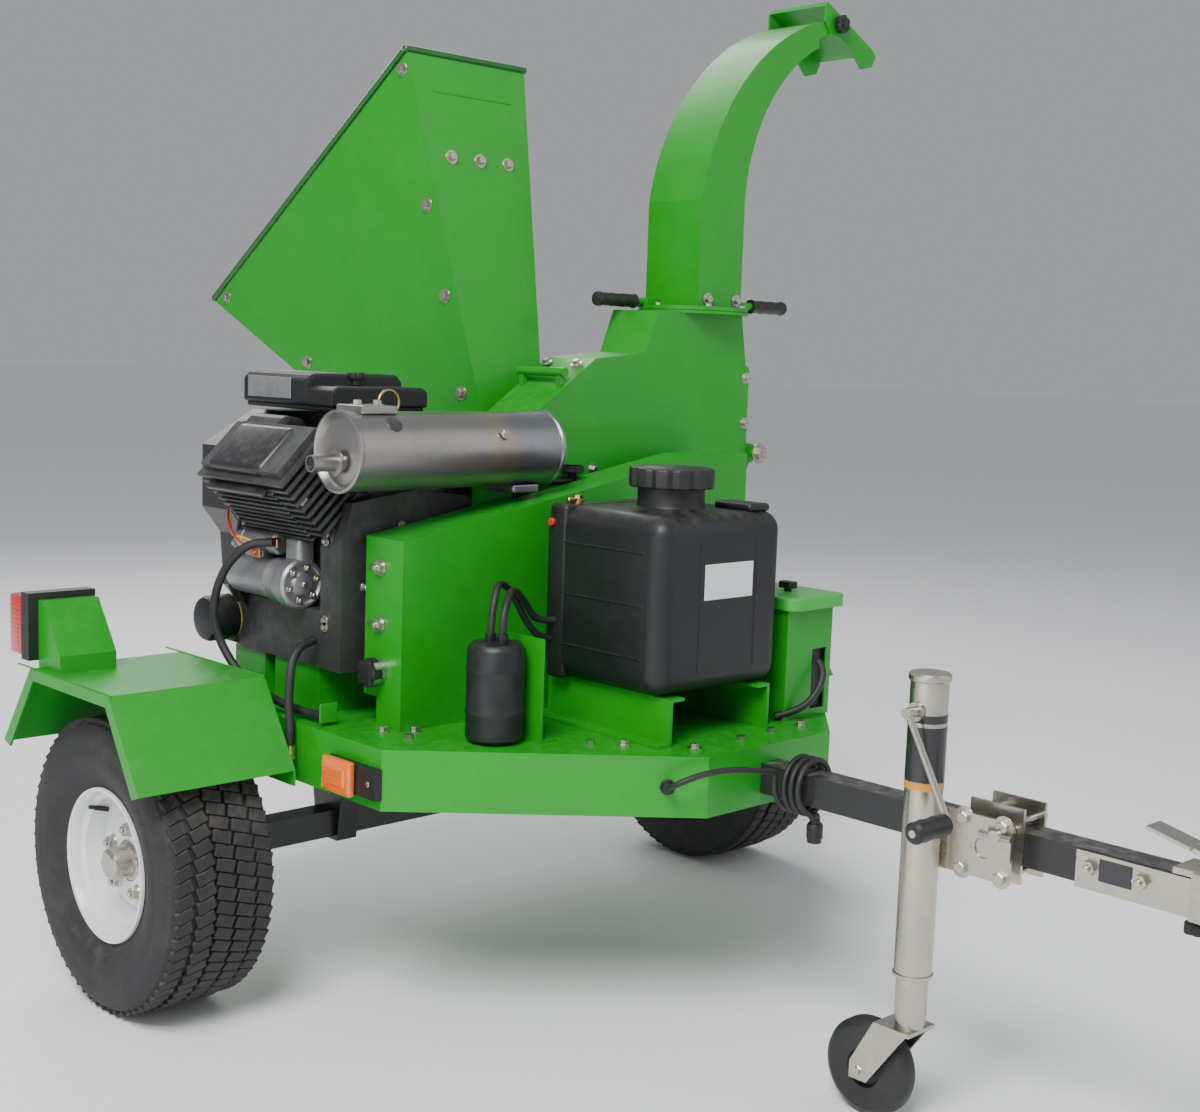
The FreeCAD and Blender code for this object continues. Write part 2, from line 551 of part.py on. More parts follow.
def make_chute():
    x0, x1 = CHUTE_X - CHUTE_HALF_X, CHUTE_X + CHUTE_HALF_X
    t = 4.0
    body = chute_side(0, x0, x1)
    inside = chute_side(t, x0 + t, x1 - t)
    a, b = CHUTE_BASE
    foot = box(x0 + t, x1 - t, a + t, b - t, CHUTE_Z - 5, CHUTE_Z + 20)
    mouth = prism_yz([(725, 1861), (760, 1861), (760, 1815), (725, 1815)], x0 + t, x1 - t)
    flange = cyl(CHUTE_X, CHUTE_Y, CHUTE_Z + 1, (0, 0, 1), 115, 8)
    body = body.fuse(flange).cut(inside).cut(foot).cut(mouth)
    ears = []
    for x in (x0, x1 - t):
        ear = prism_yz([(722, 1822), (TIP_Y - 2, TIP_Z - 14), (TIP_Y - 10, TIP_Z + 9.5), (736, 1863)],
                       x, x + t)
        ear = ear.fuse(cyl(x, TIP_Y, TIP_Z, (1, 0, 0), 14, t))
        ears.append(ear.cut(cyl(x - 1, TIP_Y, TIP_Z, (1, 0, 0), 5 + FIT, t + 2)))
    arms = [cyl(x0 + 30, a - 4, CHUTE_Z + 16, (0, -1, 0), 8, 60),
            cyl(x1 - 30, b + 4, CHUTE_Z + 16, (0, 1, 0), 8, 60),
            box(x0 + 15, x0 + 45, a - 40, a + 2, CHUTE_Z + 5, CHUTE_Z + 22),
            box(x1 - 45, x1 - 15, b - 2, b + 40, CHUTE_Z + 5, CHUTE_Z + 22)]
    node("chute", fuse([body] + ears + arms))
    grips = [ring(x0 + 30, a - 64.2, CHUTE_Z + 16, (0, -1, 0), 13, 6, 105),
             ring(x1 - 30, b + 64.2, CHUTE_Z + 16, (0, 1, 0), 13, 6, 105)]
    node("chute_grips", group(grips))


def make_deflector():
    """Folded hood that tilts on a bolt through the chute's tip."""
    t = 4.0
    x0, x1 = CHUTE_X - CHUTE_HALF_X - t - GAP, CHUTE_X + CHUTE_HALF_X + t + GAP
    profile = [(752, 1899), (757, 1909), (920, 1834), (935, 1820), (922, 1796), (884, 1786), (850, 1818),
               (812, 1838), (775, 1842), (752, 1868)]
    inner = [(740, 1893), (757, 1903), (917, 1829), (960, 1812), (940, 1700), (700, 1700)]
    hood = prism_yz(profile, x0, x1).cut(prism_yz(inner, x0 + t, x1 - t))
    bolts = [cyl(x0 + 1, TIP_Y, TIP_Z, (1, 0, 0), 5, 9), cyl(x1 - 1, TIP_Y, TIP_Z, (-1, 0, 0), 5, 9)]
    node("deflector", fuse([hood] + bolts))
    knob = cyl(x1 + 0.5, TIP_Y, TIP_Z, (1, 0, 0), 17, 16)
    node("deflector_knob", knob)


HOPPER_Y = 57.0
MOUTH_HALF = 152.0
MOUTH_TOP = (-140.0, 1723.0)
MOUTH_LOW = (-848.0, 1238.0)
HOPPER_WALL = 4.0
CURTAIN_X = -187.0
CURTAIN_Z = 1640.0


def frustum(low_x, half_low, half_high, top, bottom, z_pair):
    """Loft between the throat rectangle and the raked mouth rectangle."""
    def loop(x_a, z_a, x_b, z_b, half):
        pts = [V(x_a, HOPPER_Y - half, z_a), V(x_a, HOPPER_Y + half, z_a),
               V(x_b, HOPPER_Y + half, z_b), V(x_b, HOPPER_Y - half, z_b)]
        return Part.makePolygon(pts + pts[:1])
    throat = loop(low_x, z_pair[1], low_x, z_pair[0], half_low)
    mouth = loop(top[0], top[1], bottom[0], bottom[1], half_high)
    return Part.makeLoft([throat, mouth], True, True)


def make_hopper():
    """Four-sided funnel on a bolted flange, its raked mouth edged with a rolled lip."""
    w = HOPPER_WALL
    x_low = PLATE_REAR - 6
    outer = frustum(x_low, 69, MOUTH_HALF, MOUTH_TOP, MOUTH_LOW, (773.5, 906.5))
    top_in = (MOUTH_TOP[0] - 2.9 - w, MOUTH_TOP[1] + 11.7 - 1)
    low_in = (MOUTH_LOW[0] - 10.7 + 0.46 * w, MOUTH_LOW[1] + 5.5 + 0.89 * w)
    inner = frustum(x_low + 4, 69 - w, MOUTH_HALF - w, top_in, low_in, (773.5 + w, 873))
    funnel = outer.cut(inner)
    y0, y1 = THROAT[0] - 22, THROAT[1] + 22
    flange = box(PLATE_REAR - 6.2, PLATE_REAR - 0.2, y0, y1, THROAT[2] - 22, HOUSING_SPLIT + 6)
    flange = flange.cut(box(PLATE_REAR - 10, PLATE_REAR + 1, THROAT[0] - 1, THROAT[1] + 1,
                            THROAT[2] - 0.5, THROAT[3] + 0.5))
    rail = box(CURTAIN_X - 3, CURTAIN_X + 67, HOPPER_Y - 100, HOPPER_Y + 100, CURTAIN_Z + 5,
               CURTAIN_Z + 9)
    node("hopper", fuse([funnel, flange, rail]))
    hang = box(CURTAIN_X - 3, CURTAIN_X + 3, HOPPER_Y - 92, HOPPER_Y + 92, 1330, CURTAIN_Z)
    bead = cyl(CURTAIN_X, HOPPER_Y - 92, CURTAIN_Z, (0, 1, 0), 4.5, 184)
    node("feed_curtain", hang.fuse(bead))


# ---- belt drive --------------------------------------------------------------
DRIVE_R = 62.0
DRIVEN_R = 92.0
BELT_X = (278.0, 318.0)


def make_pulleys():
    for name, y, z, radius, bore in (("drive_pulley", CRANK_Y, CRANK_Z, DRIVE_R, 14),
                                     ("driven_pulley", SHAFT_Y, SHAFT_Z, DRIVEN_R, SHAFT_R)):
        width = BELT_X[1] - BELT_X[0]
        body = cyl(BELT_X[0], y, z, (1, 0, 0), radius, width)
        for x in (BELT_X[0] + 4, BELT_X[0] + 22):
            body = body.cut(ring(x, y, z, (1, 0, 0), radius + 1, radius - 12, 14))
        node(name, body.cut(cyl(BELT_X[0] - 1, y, z, (1, 0, 0), bore, width + 2)))


def belt_loop(x0, width, r_a, r_b, thick):
    """Open belt round both pulleys."""
    def solid(extra, start, length):
        ra, rb = r_a + extra, r_b + extra
        dy, dz = SHAFT_Y - CRANK_Y, SHAFT_Z - CRANK_Z
        span = math.hypot(dy, dz)
        base = math.atan2(dz, dy)
        lean = math.acos((ra - rb) / span)
        a = [(CRANK_Y + ra * math.cos(base + s * lean), CRANK_Z + ra * math.sin(base + s * lean))
             for s in (1, -1)]
        b = [(SHAFT_Y + rb * math.cos(base + s * lean), SHAFT_Z + rb * math.sin(base + s * lean))
             for s in (-1, 1)]
        web = prism_yz([a[0], a[1], b[0], b[1]], start, start + length)
        return web.fuse([cyl(start, CRANK_Y, CRANK_Z, (1, 0, 0), ra, length),
                         cyl(start, SHAFT_Y, SHAFT_Z, (1, 0, 0), rb, length)])
    return solid(thick, x0, width).cut(solid(0, x0 - 1, width + 2))


def make_belts():
    r_a, r_b = DRIVE_R - 12 + GAP / 2, DRIVEN_R - 12 + GAP / 2
    loops = []
    for x in (BELT_X[0] + 4.6, BELT_X[0] + 22.6):
        loops.append(belt_loop(x, 12.8, r_a, r_b, 9))
    node("v_belts", group(loops))


TENSION_Y = -90.0
RELEASE_X = 225.0          # release bar, behind the guard's edge


def make_tensioner():
    """Rocking lever above the guard's back, whose arm carries the idler on the slack side."""
    y, z = TENSION_Y, 865.0
    iy, iz = -40.0, 828.0
    post = cyl(222, y, z, (1, 0, 0), 9, 40)
    lever = box(228, 240, y - 12, y + 12, z - 8, 906)
    bar = cyl(RELEASE_X, y - 6, 903, (0, 1, 0), 6, 150)
    arm = prism_yz([(y - 10, z - 8), (y - 8, z + 10), (iy + 8, iz + 10), (iy + 6, iz - 10)], 262, 270)
    stud = cyl(262, iy, iz, (1, 0, 0), 8, 56)
    hub = cyl(222, y, z, (1, 0, 0), 13, 48)
    knob = cyl(RELEASE_X, y + 132, 903, (0, 0, 1), 7, 22)
    cap = cyl(RELEASE_X, y + 132, 921, (0, 0, 1), 22, 12)
    shape = fuse([post, lever, bar, arm, stud, hub, knob, cap])
    node("tension_arm", shape)
    node("idler_pulley", ring(278, iy, iz, (1, 0, 0), 27, 8 + FIT, 40))


def make_guard():
    """Belt guard: deep folded cover, open at the back, standing on the deck."""
    outline = [(-453, DECK_Z + 0.3), (300, DECK_Z + 0.3), (399, 640), (399, 958), (265, 955),
               (-453, 827)]
    t = 3.0
    body = prism_yz(outline, GUARD_X0, GUARD_X1)
    body = body.cut(prism_yz(inset(outline, t), GUARD_X0 - 1, GUARD_X1 - t))
    slot = box(GUARD_X0 - 1, GUARD_X0 + 28, -150, 40, 850, 960)
    notch = box(GUARD_X0 - 1, GUARD_X0 + 36, -460, -449, DECK_Z, 556)
    body = body.cut(slot).cut(notch)
    node("belt_guard", body)
    knob_parts = []
    for z in (777, 680):
        knob_parts.append(cyl(292, -453.2, z, (0, -1, 0), 11, 8))
    knob_parts.append(cyl(291, -453.2, 600, (0, -1, 0), 24, 22))
    node("guard_knobs", group(knob_parts))


# ---- engine -------------------------------------------------------------------
ENGINE_BACK = -190.0


def make_engine_base():
    rails = [box(20, 158, -482, -180, DECK_Z + 0.2, 590), box(-112, -12, -482, -180, DECK_Z + 0.2, 590)]
    node("engine_base", group(rails))


def make_crankcase():
    outline = [(-490, 590.3), (-170, 590.3), (-150, 700), (-190, 880), (-330, 900), (-470, 880),
               (-492, 800)]
    block = prism_yz(outline, -90, 232)
    bore = cyl(-400, CRANK_Y, CRANK_Z, (1, 0, 0), 20 + FIT, 800)
    starter = box(-95, 172, -540, -462, 690, 822)
    node("crankcase", block.cut(bore).cut(starter))


def bank(sign):
    """One finned cylinder with its head, square to a line 45 degrees from upright."""
    fins = [box(-40, 200, -52, 52, 128, 330)]
    for i in range(9):
        fins.append(box(-52, 212, -66, 66, 190 + 15 * i, 196 + 15 * i))
    shape = fuse(fins)
    shape.rotate(V(0, 0, 0), V(1, 0, 0), 45 * sign)
    shape.translate(V(0, CRANK_Y, CRANK_Z))
    return shape


def make_cylinders():
    keep = prism_yz([(-490, 590), (-170, 590), (-150, 700), (-190, 881), (-330, 901), (-470, 881),
                     (-493, 800)], -95, 240)
    clear = box(-60, 240, -600, -84, 700, 1200)
    pieces = []
    for sign in (1, -1):
        pieces.append(bank(sign).cut(keep).common(clear))
    left, right = pieces
    node("cylinders", group([left.cut(box(-300, 300, CRANK_Y, 0, 600, 1200)),
                             right.cut(box(-300, 300, -900, CRANK_Y, 600, 1200))]))


def make_blower():
    """Fan housing round the flywheel at the engine's back."""
    outline = [(-420, 640), (-240, 640), (-180, 720), (-150, 820), (-150, 950), (-260, 1020),
               (-400, 1020), (-508, 955), (-508, 840), (-470, 790), (-462, 690)]
    body = prism_yz(outline, ENGINE_BACK, -92)
    well = cyl(-184, CRANK_Y, CRANK_Z + 60, (1, 0, 0), 122, 92)
    bore = cyl(-400, CRANK_Y, CRANK_Z, (1, 0, 0), 22, 500)
    node("blower_housing", body.cut(well).cut(bore))


def make_engine_top():
    cover = box(-170, 118, -435, -225, 1036, 1093)
    cover = cover.makeFillet(12, [e for e in cover.Edges if abs(e.Vertexes[0].Z - 1093) < 0.1
                                  and abs(e.Vertexes[1].Z - 1093) < 0.1])
    node("air_cleaner", cover)
    carb = box(-20, 60, -372, -288, 902, 1035)
    node("carburettor", carb)


def make_crankshaft():
    shaft = cyl(-176, CRANK_Y, CRANK_Z, (1, 0, 0), 20, 400)
    nose = cyl(224, CRANK_Y, CRANK_Z, (1, 0, 0), 13.95, 100)
    wheel = cyl(-170, CRANK_Y, CRANK_Z, (1, 0, 0), 60, 30)
    node("crankshaft", fuse([shaft, nose, wheel]))


def make_starter():
    y, z = -500.0, 732.0
    pieces = [cyl(-67, y, z, (1, 0, 0), 37, 233),
              cyl(-60, y, z + 64, (1, 0, 0), 20, 130)]
    pieces.append(box(-30, 20, y - 12, y + 12, z + 34, z + 50))
    node("starter_motor", fuse(pieces))


def make_oil_filter():
    node("oil_filter", cyl(-150, -478, 626, (1, 0, 0), 34, 58))


MUFFLER_X = 287.0
MUFFLER_Z = 972.0
MUFFLER_R = 67.0
MUFFLER_Y0 = -543.0
MUFFLER_Y1 = -95.0


def make_exhaust():
    body = cyl(MUFFLER_X, MUFFLER_Y0, MUFFLER_Z, (0, 1, 0), MUFFLER_R, MUFFLER_Y1 - MUFFLER_Y0)
    edge = [e for e in body.Edges if abs(e.BoundBox.YMin - MUFFLER_Y1) < 0.1]
    body = body.makeFillet(28, edge)
    body = body.cut(cyl(MUFFLER_X, MUFFLER_Y0 - 1, MUFFLER_Z, (0, 1, 0), MUFFLER_R - 5, 9))
    pipe = ring(MUFFLER_X - 10, MUFFLER_Y0 - 52, MUFFLER_Z - 18, (0, 1, 0), 14, 12, 70)
    pads = [box(MUFFLER_X - 35, MUFFLER_X + 35, -440, -265, MUFFLER_Z + 54, MUFFLER_Z + 76),
            box(MUFFLER_X - 35, MUFFLER_X + 35, -440, -265, MUFFLER_Z - 78, MUFFLER_Z - 54)]
    pads = [p.cut(cyl(MUFFLER_X, -600, MUFFLER_Z, (0, 1, 0), MUFFLER_R - 1, 700)) for p in pads]
    node("muffler", fuse([body, pipe] + pads))
    x0 = MUFFLER_X - MUFFLER_R + 6
    pipes = [cyl(213, -500, 940, (1, 0, 0), 19, x0 - 205)]
    pipes.append(cyl(213, -170, 930, (1, 0, 0), 19, x0 - 205))
    flat = cyl(MUFFLER_X, -700, MUFFLER_Z, (0, 1, 0), MUFFLER_R + 0.3, 700)
    node("exhaust_pipes", group([p.cut(flat) for p in pipes]))
    stand = box(232, 249, -210, -130, 700, 906)
    node("muffler_bracket", stand)


# ---- fuel and battery ----------------------------------------------------------
def rounded_box(x0, x1, y0, y1, z0, z1, radius):
    shape = box(x0, x1, y0, y1, z0, z1)
    upright = [e for e in shape.Edges if abs(e.Vertexes[0].Z - e.Vertexes[1].Z) > 1]
    return shape.makeFillet(radius, upright)


TANK = (398.0, 692.0, -190.0, 118.0, 586.0, 886.0)
CAP_X, CAP_Y = 575.0, -52.0


def make_fuel():
    x0, x1, y0, y1, z0, z1 = TANK
    tank = rounded_box(x0, x1, y0, y1, z0, z1, 26)
    tank = tank.fuse(cyl(CAP_X, CAP_Y, z1 - 5, (0, 0, 1), 58, 48))
    tank = tank.cut(cyl(CAP_X, CAP_Y, z1 - 60, (0, 0, 1), 48, 110))
    node("fuel_tank", tank.removeSplitter())
    cap = cyl(CAP_X, CAP_Y, z1 + 43.4, (0, 0, 1), 74, 30)
    cap = cap.fuse(cyl(CAP_X, CAP_Y, z1 + 20, (0, 0, 1), 47.5, 24))
    node("fuel_cap", cap.removeSplitter())
    rails = []
    for y, way in ((-158, -1), (86, 1)):
        rail = box(x0, x1 + 4, y - 3, y + 3, DECK_Z + 0.2, z0 - 0.3)
        top = box(x0, x1 + 4, min(y, y - 30 * way), max(y, y - 30 * way), z0 - 5.3, z0 - 0.3)
        foot = box(x0, x1 + 4, min(y, y + 30 * way), max(y, y + 30 * way), DECK_Z + 0.2, DECK_Z + 5.2)
        rails.append(fuse([rail, top, foot]))
    node("tank_brackets", group(rails))
    canister = cyl(493, -366, 512, (0, 0, 1), 48, 160)
    node("canister", canister.fuse([cyl(478, -366, 671, (0, 0, 1), 6, 14),
                                    cyl(508, -366, 671, (0, 0, 1), 6, 14)]))
    plate = box(444, 552, -316, -312, DECK_Z + 0.2, 680)
    foot = box(444, 552, -312, -280, DECK_Z + 0.2, DECK_Z + 4.2)
    node("canister_bracket", fuse([plate, foot]))


BATTERY = (500.0, 681.0, 150.0, 276.0)


def make_battery():
    x0, x1, y0, y1 = BATTERY
    t = 3.0
    z0, z1 = DECK_Z + 0.2, 706.0
    tub = box(x0, x1, y0, y1, z0, z1).cut(box(x0 + t, x1 - t, y0 + t, y1 - t, z0 + t, z1 + 1))
    tub = tub.cut(box(x1 - t - 1, x1 + 1, 222, 262, 520, 630))
    node("battery_box", tub)
    lid = box(x0 - 6, x1 + 18, y0 - 8, y1 + 20, z1 + 0.4, z1 + 22)
    lid = lid.cut(box(x0 - 3, x1 + 15, y0 - 5, y1 + 17, z1 - 1, z1 + 19))
    barrel = cyl(x0 - 9, y0 - 8, z1 + 4.4, (0, 1, 0), 4, y1 - y0 + 28)
    node("battery_lid", lid.fuse(barrel))
    case = box(x0 + 8, x1 - 8, y0 + 8, y1 - 8, z0 + t + 0.2, 668)
    posts = [cyl(x0 + 40, y0 + 30, 668, (0, 0, 1), 9, 16), cyl(x1 - 40, y0 + 30, 668, (0, 0, 1), 9, 16)]
    node("battery", fuse([case] + posts))


# ---- cables and hoses -----------------------------------------------------------
STARTER_CABLE = [(74, -524, 800), (40, -552, 796), (4, -572, 758), (-18, -582, 708), (-22, -584, 656),
                 (-8, -574, 610), (26, -562, 566), (74, -546, 538), (130, -534, 524), (182, -528, 520),
                 (236, -524, 521)]
DRAIN_HOSE = [(170, -500, 640), (173, -530, 634), (180, -552, 614), (186, -560, 584), (188, -564, 548),
              (190, -562, 510), (193, -564, 469.8)]
VAPOUR_HOSE = [(508, -366, 688), (508, -366, 716), (500, -352, 738), (482, -330, 752),
               (462, -300, 748), (448, -270, 728), (436, -240, 700)]


def make_hoses():
    node("starter_cable", hose(STARTER_CABLE, 7.5))
    drain = hose(DRAIN_HOSE, 7.5)
    node("drain_hose", drain)
    x, y, z = DRAIN_HOSE[-1]
    valve = fuse([cyl(x, y, z - 0.2, (0, 0, -1), 10, 16), cyl(x, y, z - 14, (0, 0, -1), 6, 26),
                  cyl(x - 18, y, z - 20, (1, 0, 0), 4, 30)])
    node("drain_valve", valve)
    node("vapour_hose", hose(VAPOUR_HOSE, 6))


HARNESS = [(748, -212, 458), (762, -228, 462), (782, -232, 474), (802, -206, 488), (812, -168, 492),
           (820, -126, 490), (826, -84, 482), (832, -55.4, 465.6)]
WINDING_X = (806.0, 888.0)


def make_harness():
    """Trailer lead: from a grommet in the deck's side, wound on the tongue, plug hanging."""
    grommet = cyl(735, -203, 456, (0.75, -0.661, 0), 13, 12)
    node("harness_grommet", grommet)
    node("harness_lead", hose(HARNESS, 5))
    x0, x1 = WINDING_X
    half = TONGUE_W / 2 + 0.3
    coil = cyl(x0, 0, TONGUE_Z, (1, 0, 0), 52, x1 - x0)
    coil = coil.cut(box(x0 - 1, x1 + 1, -half, half, TONGUE_Z - half, TONGUE_Z + half))
    node("harness_coil", coil)
    plug = cyl(880, 0, 399.95, (0, 0, -1), 14, 40)
    node("harness_plug", plug)


def make_fasteners():
    """Deck bolts and the bolts of the brackets."""
    places = [(728, -20), (719, 70), (600, -250), (395, -467), (150, 440), (-150, 440), (600, 330)]
    bolts = []
    for x, y in places:
        bolts.append(hex_bolt(x, y, DECK_Z + 0.1, (0, 0, 1), 15, 7, 4, 0))
    node("deck_bolts", group(bolts))


JOINED = {
    "fenders": ["fender_right", "fender_left", "lamp_boxes"],
    "wheel_right": ["rim_right", "hub_right"],
    "wheel_left": ["rim_left", "hub_left"],
    "brackets": ["tank_brackets", "canister_bracket", "muffler_bracket"],
    "exhaust": ["muffler", "exhaust_pipes"],
    "hoses_and_cable": ["drain_hose", "vapour_hose", "starter_cable"],
    "fasteners": ["guard_knobs", "deck_bolts"],
    "intake": ["air_cleaner", "carburettor"],
    "crank_handle": ["jack_crank", "jack_grip"],
    "discharge_chute": ["chute", "chute_grips"],
    "engine_block": ["crankcase", "oil_filter"],
}


def join_nodes():
    """Keep pieces that are fixed to each other in one file, as separate solids."""
    for name, members in JOINED.items():
        solids = []
        for member in members:
            solids.extend(NODES.pop(member).Solids)
        NODES[name] = group(solids)


def main():
    os.makedirs("parts", exist_ok=True)
    make_deck()
    make_underframe()
    make_axle()
    for side, name in ((-1, "right"), (1, "left")):
        make_wheel(side, name)
        make_fender(side, name)
    make_lamps()
    make_tongue()
    make_coupler()
    make_jack()
    make_rotor()
    make_bearings()
    make_lower_housing()
    make_upper_housing()
    make_chute()
    make_deflector()
    make_hopper()
    make_pulleys()
    make_belts()
    make_tensioner()
    make_guard()
    make_engine_base()
    make_crankcase()
    make_cylinders()
    make_blower()
    make_engine_top()
    make_crankshaft()
    make_starter()
    make_oil_filter()
    make_exhaust()
    make_fuel()
    make_battery()
    make_hoses()
    make_harness()
    make_fasteners()
    join_nodes()
    for name, shape in NODES.items():
        assert shape.isValid(), name
        shape.exportStep("parts/" + name + ".step")
    whole = Part.makeCompound(list(NODES.values())).BoundBox
    print("nodes", len(NODES), "x %.1f..%.1f y %.1f..%.1f z %.1f..%.1f"
          % (whole.XMin, whole.XMax, whole.YMin, whole.YMax, whole.ZMin, whole.ZMax))


main()
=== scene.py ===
"""Looks of a towable disc wood chipper: finishes, detailed pieces, cord, light and camera."""

import logging
import math
from dataclasses import dataclass
from enum import Enum
from typing import Any, Iterable, Sequence

import bmesh
import bpy
from mathutils import Matrix, Vector

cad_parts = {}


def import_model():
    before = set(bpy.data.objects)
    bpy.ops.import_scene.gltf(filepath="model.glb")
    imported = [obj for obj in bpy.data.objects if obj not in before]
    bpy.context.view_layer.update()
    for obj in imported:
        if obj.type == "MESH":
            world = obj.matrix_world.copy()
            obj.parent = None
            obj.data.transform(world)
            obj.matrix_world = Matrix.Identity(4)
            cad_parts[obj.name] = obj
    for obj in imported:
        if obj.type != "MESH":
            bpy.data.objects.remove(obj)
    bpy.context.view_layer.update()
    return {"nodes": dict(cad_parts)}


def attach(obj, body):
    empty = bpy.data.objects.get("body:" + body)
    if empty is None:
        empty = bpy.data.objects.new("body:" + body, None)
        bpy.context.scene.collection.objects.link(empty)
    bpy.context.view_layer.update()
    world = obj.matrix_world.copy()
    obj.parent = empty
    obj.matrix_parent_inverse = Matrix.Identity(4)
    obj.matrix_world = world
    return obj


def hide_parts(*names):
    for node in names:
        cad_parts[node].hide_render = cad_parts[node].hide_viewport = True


LOG = logging.getLogger("wood_chipper")
MM_PER_METRE = 1000.0
AXLE_X = -401.5  # the axle line and the frame's middle plane, in mm from the origin
MIDDLE_Y = -33.5
Point = tuple[float, float, float]
Colour = tuple[float, float, float]


def place(point: Sequence[float]) -> Vector:
    """Turn millimetres measured from the axle into metres from the origin.

    Args:
        point: Place ahead of the axle, left of the middle, and above the ground, in mm.

    Returns:
        The same place in the row frame, in metres.
    """
    return Vector((point[0] + AXLE_X, point[1] + MIDDLE_Y, point[2])) / MM_PER_METRE


# ---- finishes ----------------------------------------------------------------------------


class Value:
    """A socket that takes part in plain arithmetic, which adds its Math nodes."""

    def __init__(self, graph: "Graph", socket: bpy.types.NodeSocket) -> None:
        """Keep the socket and the graph it belongs to."""
        self.graph = graph
        self.socket = socket

    def _math(self, operation: str, first: Any, second: Any) -> "Value":
        """Add one Math node.

        Args:
            operation: The node's operation.
            first: Left operand.
            second: Right operand.

        Returns:
            The node's result.
        """
        return self.graph.add("ShaderNodeMath", {"operation": operation}, {0: first, 1: second})

    def __add__(self, other: Any) -> "Value":
        """Sum."""
        return self._math("ADD", self, other)

    __radd__ = __add__

    def __sub__(self, other: Any) -> "Value":
        """Difference."""
        return self._math("SUBTRACT", self, other)

    def __rsub__(self, other: Any) -> "Value":
        """Difference the other way round."""
        return self._math("SUBTRACT", other, self)

    def __mul__(self, other: Any) -> "Value":
        """Product."""
        return self._math("MULTIPLY", self, other)

    __rmul__ = __mul__

    def clamped(self) -> "Value":
        """The value held between nought and one."""
        return self.graph.add("ShaderNodeClamp", {}, {0: self})


class Graph:
    """The node tree of one material."""

    def __init__(self, material: bpy.types.Material) -> None:
        """Empty the material's tree and start a new one."""
        material.use_nodes = True
        self.tree = material.node_tree
        self.tree.nodes.clear()

    def add(self, kind: str, settings: dict[str, Any], inputs: dict[Any, Any],
            output: Any = 0) -> Value:
        """Add any node.

        Args:
            kind: The node's type.
            settings: Properties of the node, set first; a ramp's stops go under "stops".
            inputs: Values or links of its sockets, by name or number.
            output: Which output to give back.

        Returns:
            The chosen output, ready for arithmetic.
        """
        node = self.tree.nodes.new(kind)
        for key, setting in settings.items():
            if key == "stops":
                for index, (position, colour) in enumerate(setting):
                    ramp = node.color_ramp.elements
                    stop = ramp[index] if index < 2 else ramp.new(position)
                    stop.position = position
                    stop.color = (*colour, 1.0)
            else:
                setattr(node, key, setting)
        for key, item in inputs.items():
            if isinstance(item, Value):
                self.tree.links.new(item.socket, node.inputs[key])
            else:
                node.inputs[key].default_value = item
        return Value(self, node.outputs[output])

    def noise(self, where: Value, scale: float, detail: float = 4.0,
              roughness: float = 0.55) -> Value:
        """A noise value at the given scale.

        Args:
            where: Coordinates.
            scale: Features per metre.
            detail: Octaves.
            roughness: Strength of the fine octaves.

        Returns:
            The noise, about one half on average.
        """
        return self.add("ShaderNodeTexNoise", {}, {"Vector": where, "Scale": scale,
                                                   "Detail": detail, "Roughness": roughness})

    def step(self, value: Value, low: float, high: float) -> Value:
        """Ease from nought at low to one at high."""
        return self.add("ShaderNodeMapRange", {"interpolation_type": "SMOOTHSTEP"},
                        {0: value, 1: low, 2: high, 3: 0.0, 4: 1.0})

    def blend(self, factor: Any, first: Any, second: Any, mode: str = "MIX") -> Value:
        """Mix two colours.

        Args:
            factor: Share of the second colour.
            first: First colour, as four numbers or a value.
            second: Second colour.
            mode: Blend mode.

        Returns:
            The mixed colour.
        """
        return self.add("ShaderNodeMix", {"data_type": "RGBA", "blend_type": mode},
                        {0: factor, 6: first, 7: second}, 2)


class Surface(Enum):
    """How a finish is made up."""

    PAINT = "powder coat"
    METAL = "brushed or rolled metal"
    CAST = "sand-cast metal"
    PLASTIC = "moulded plastic"
    RUBBER = "rubber"
    LENS = "ribbed lamp lens"
    HEAT = "heat-tinted sheet steel"


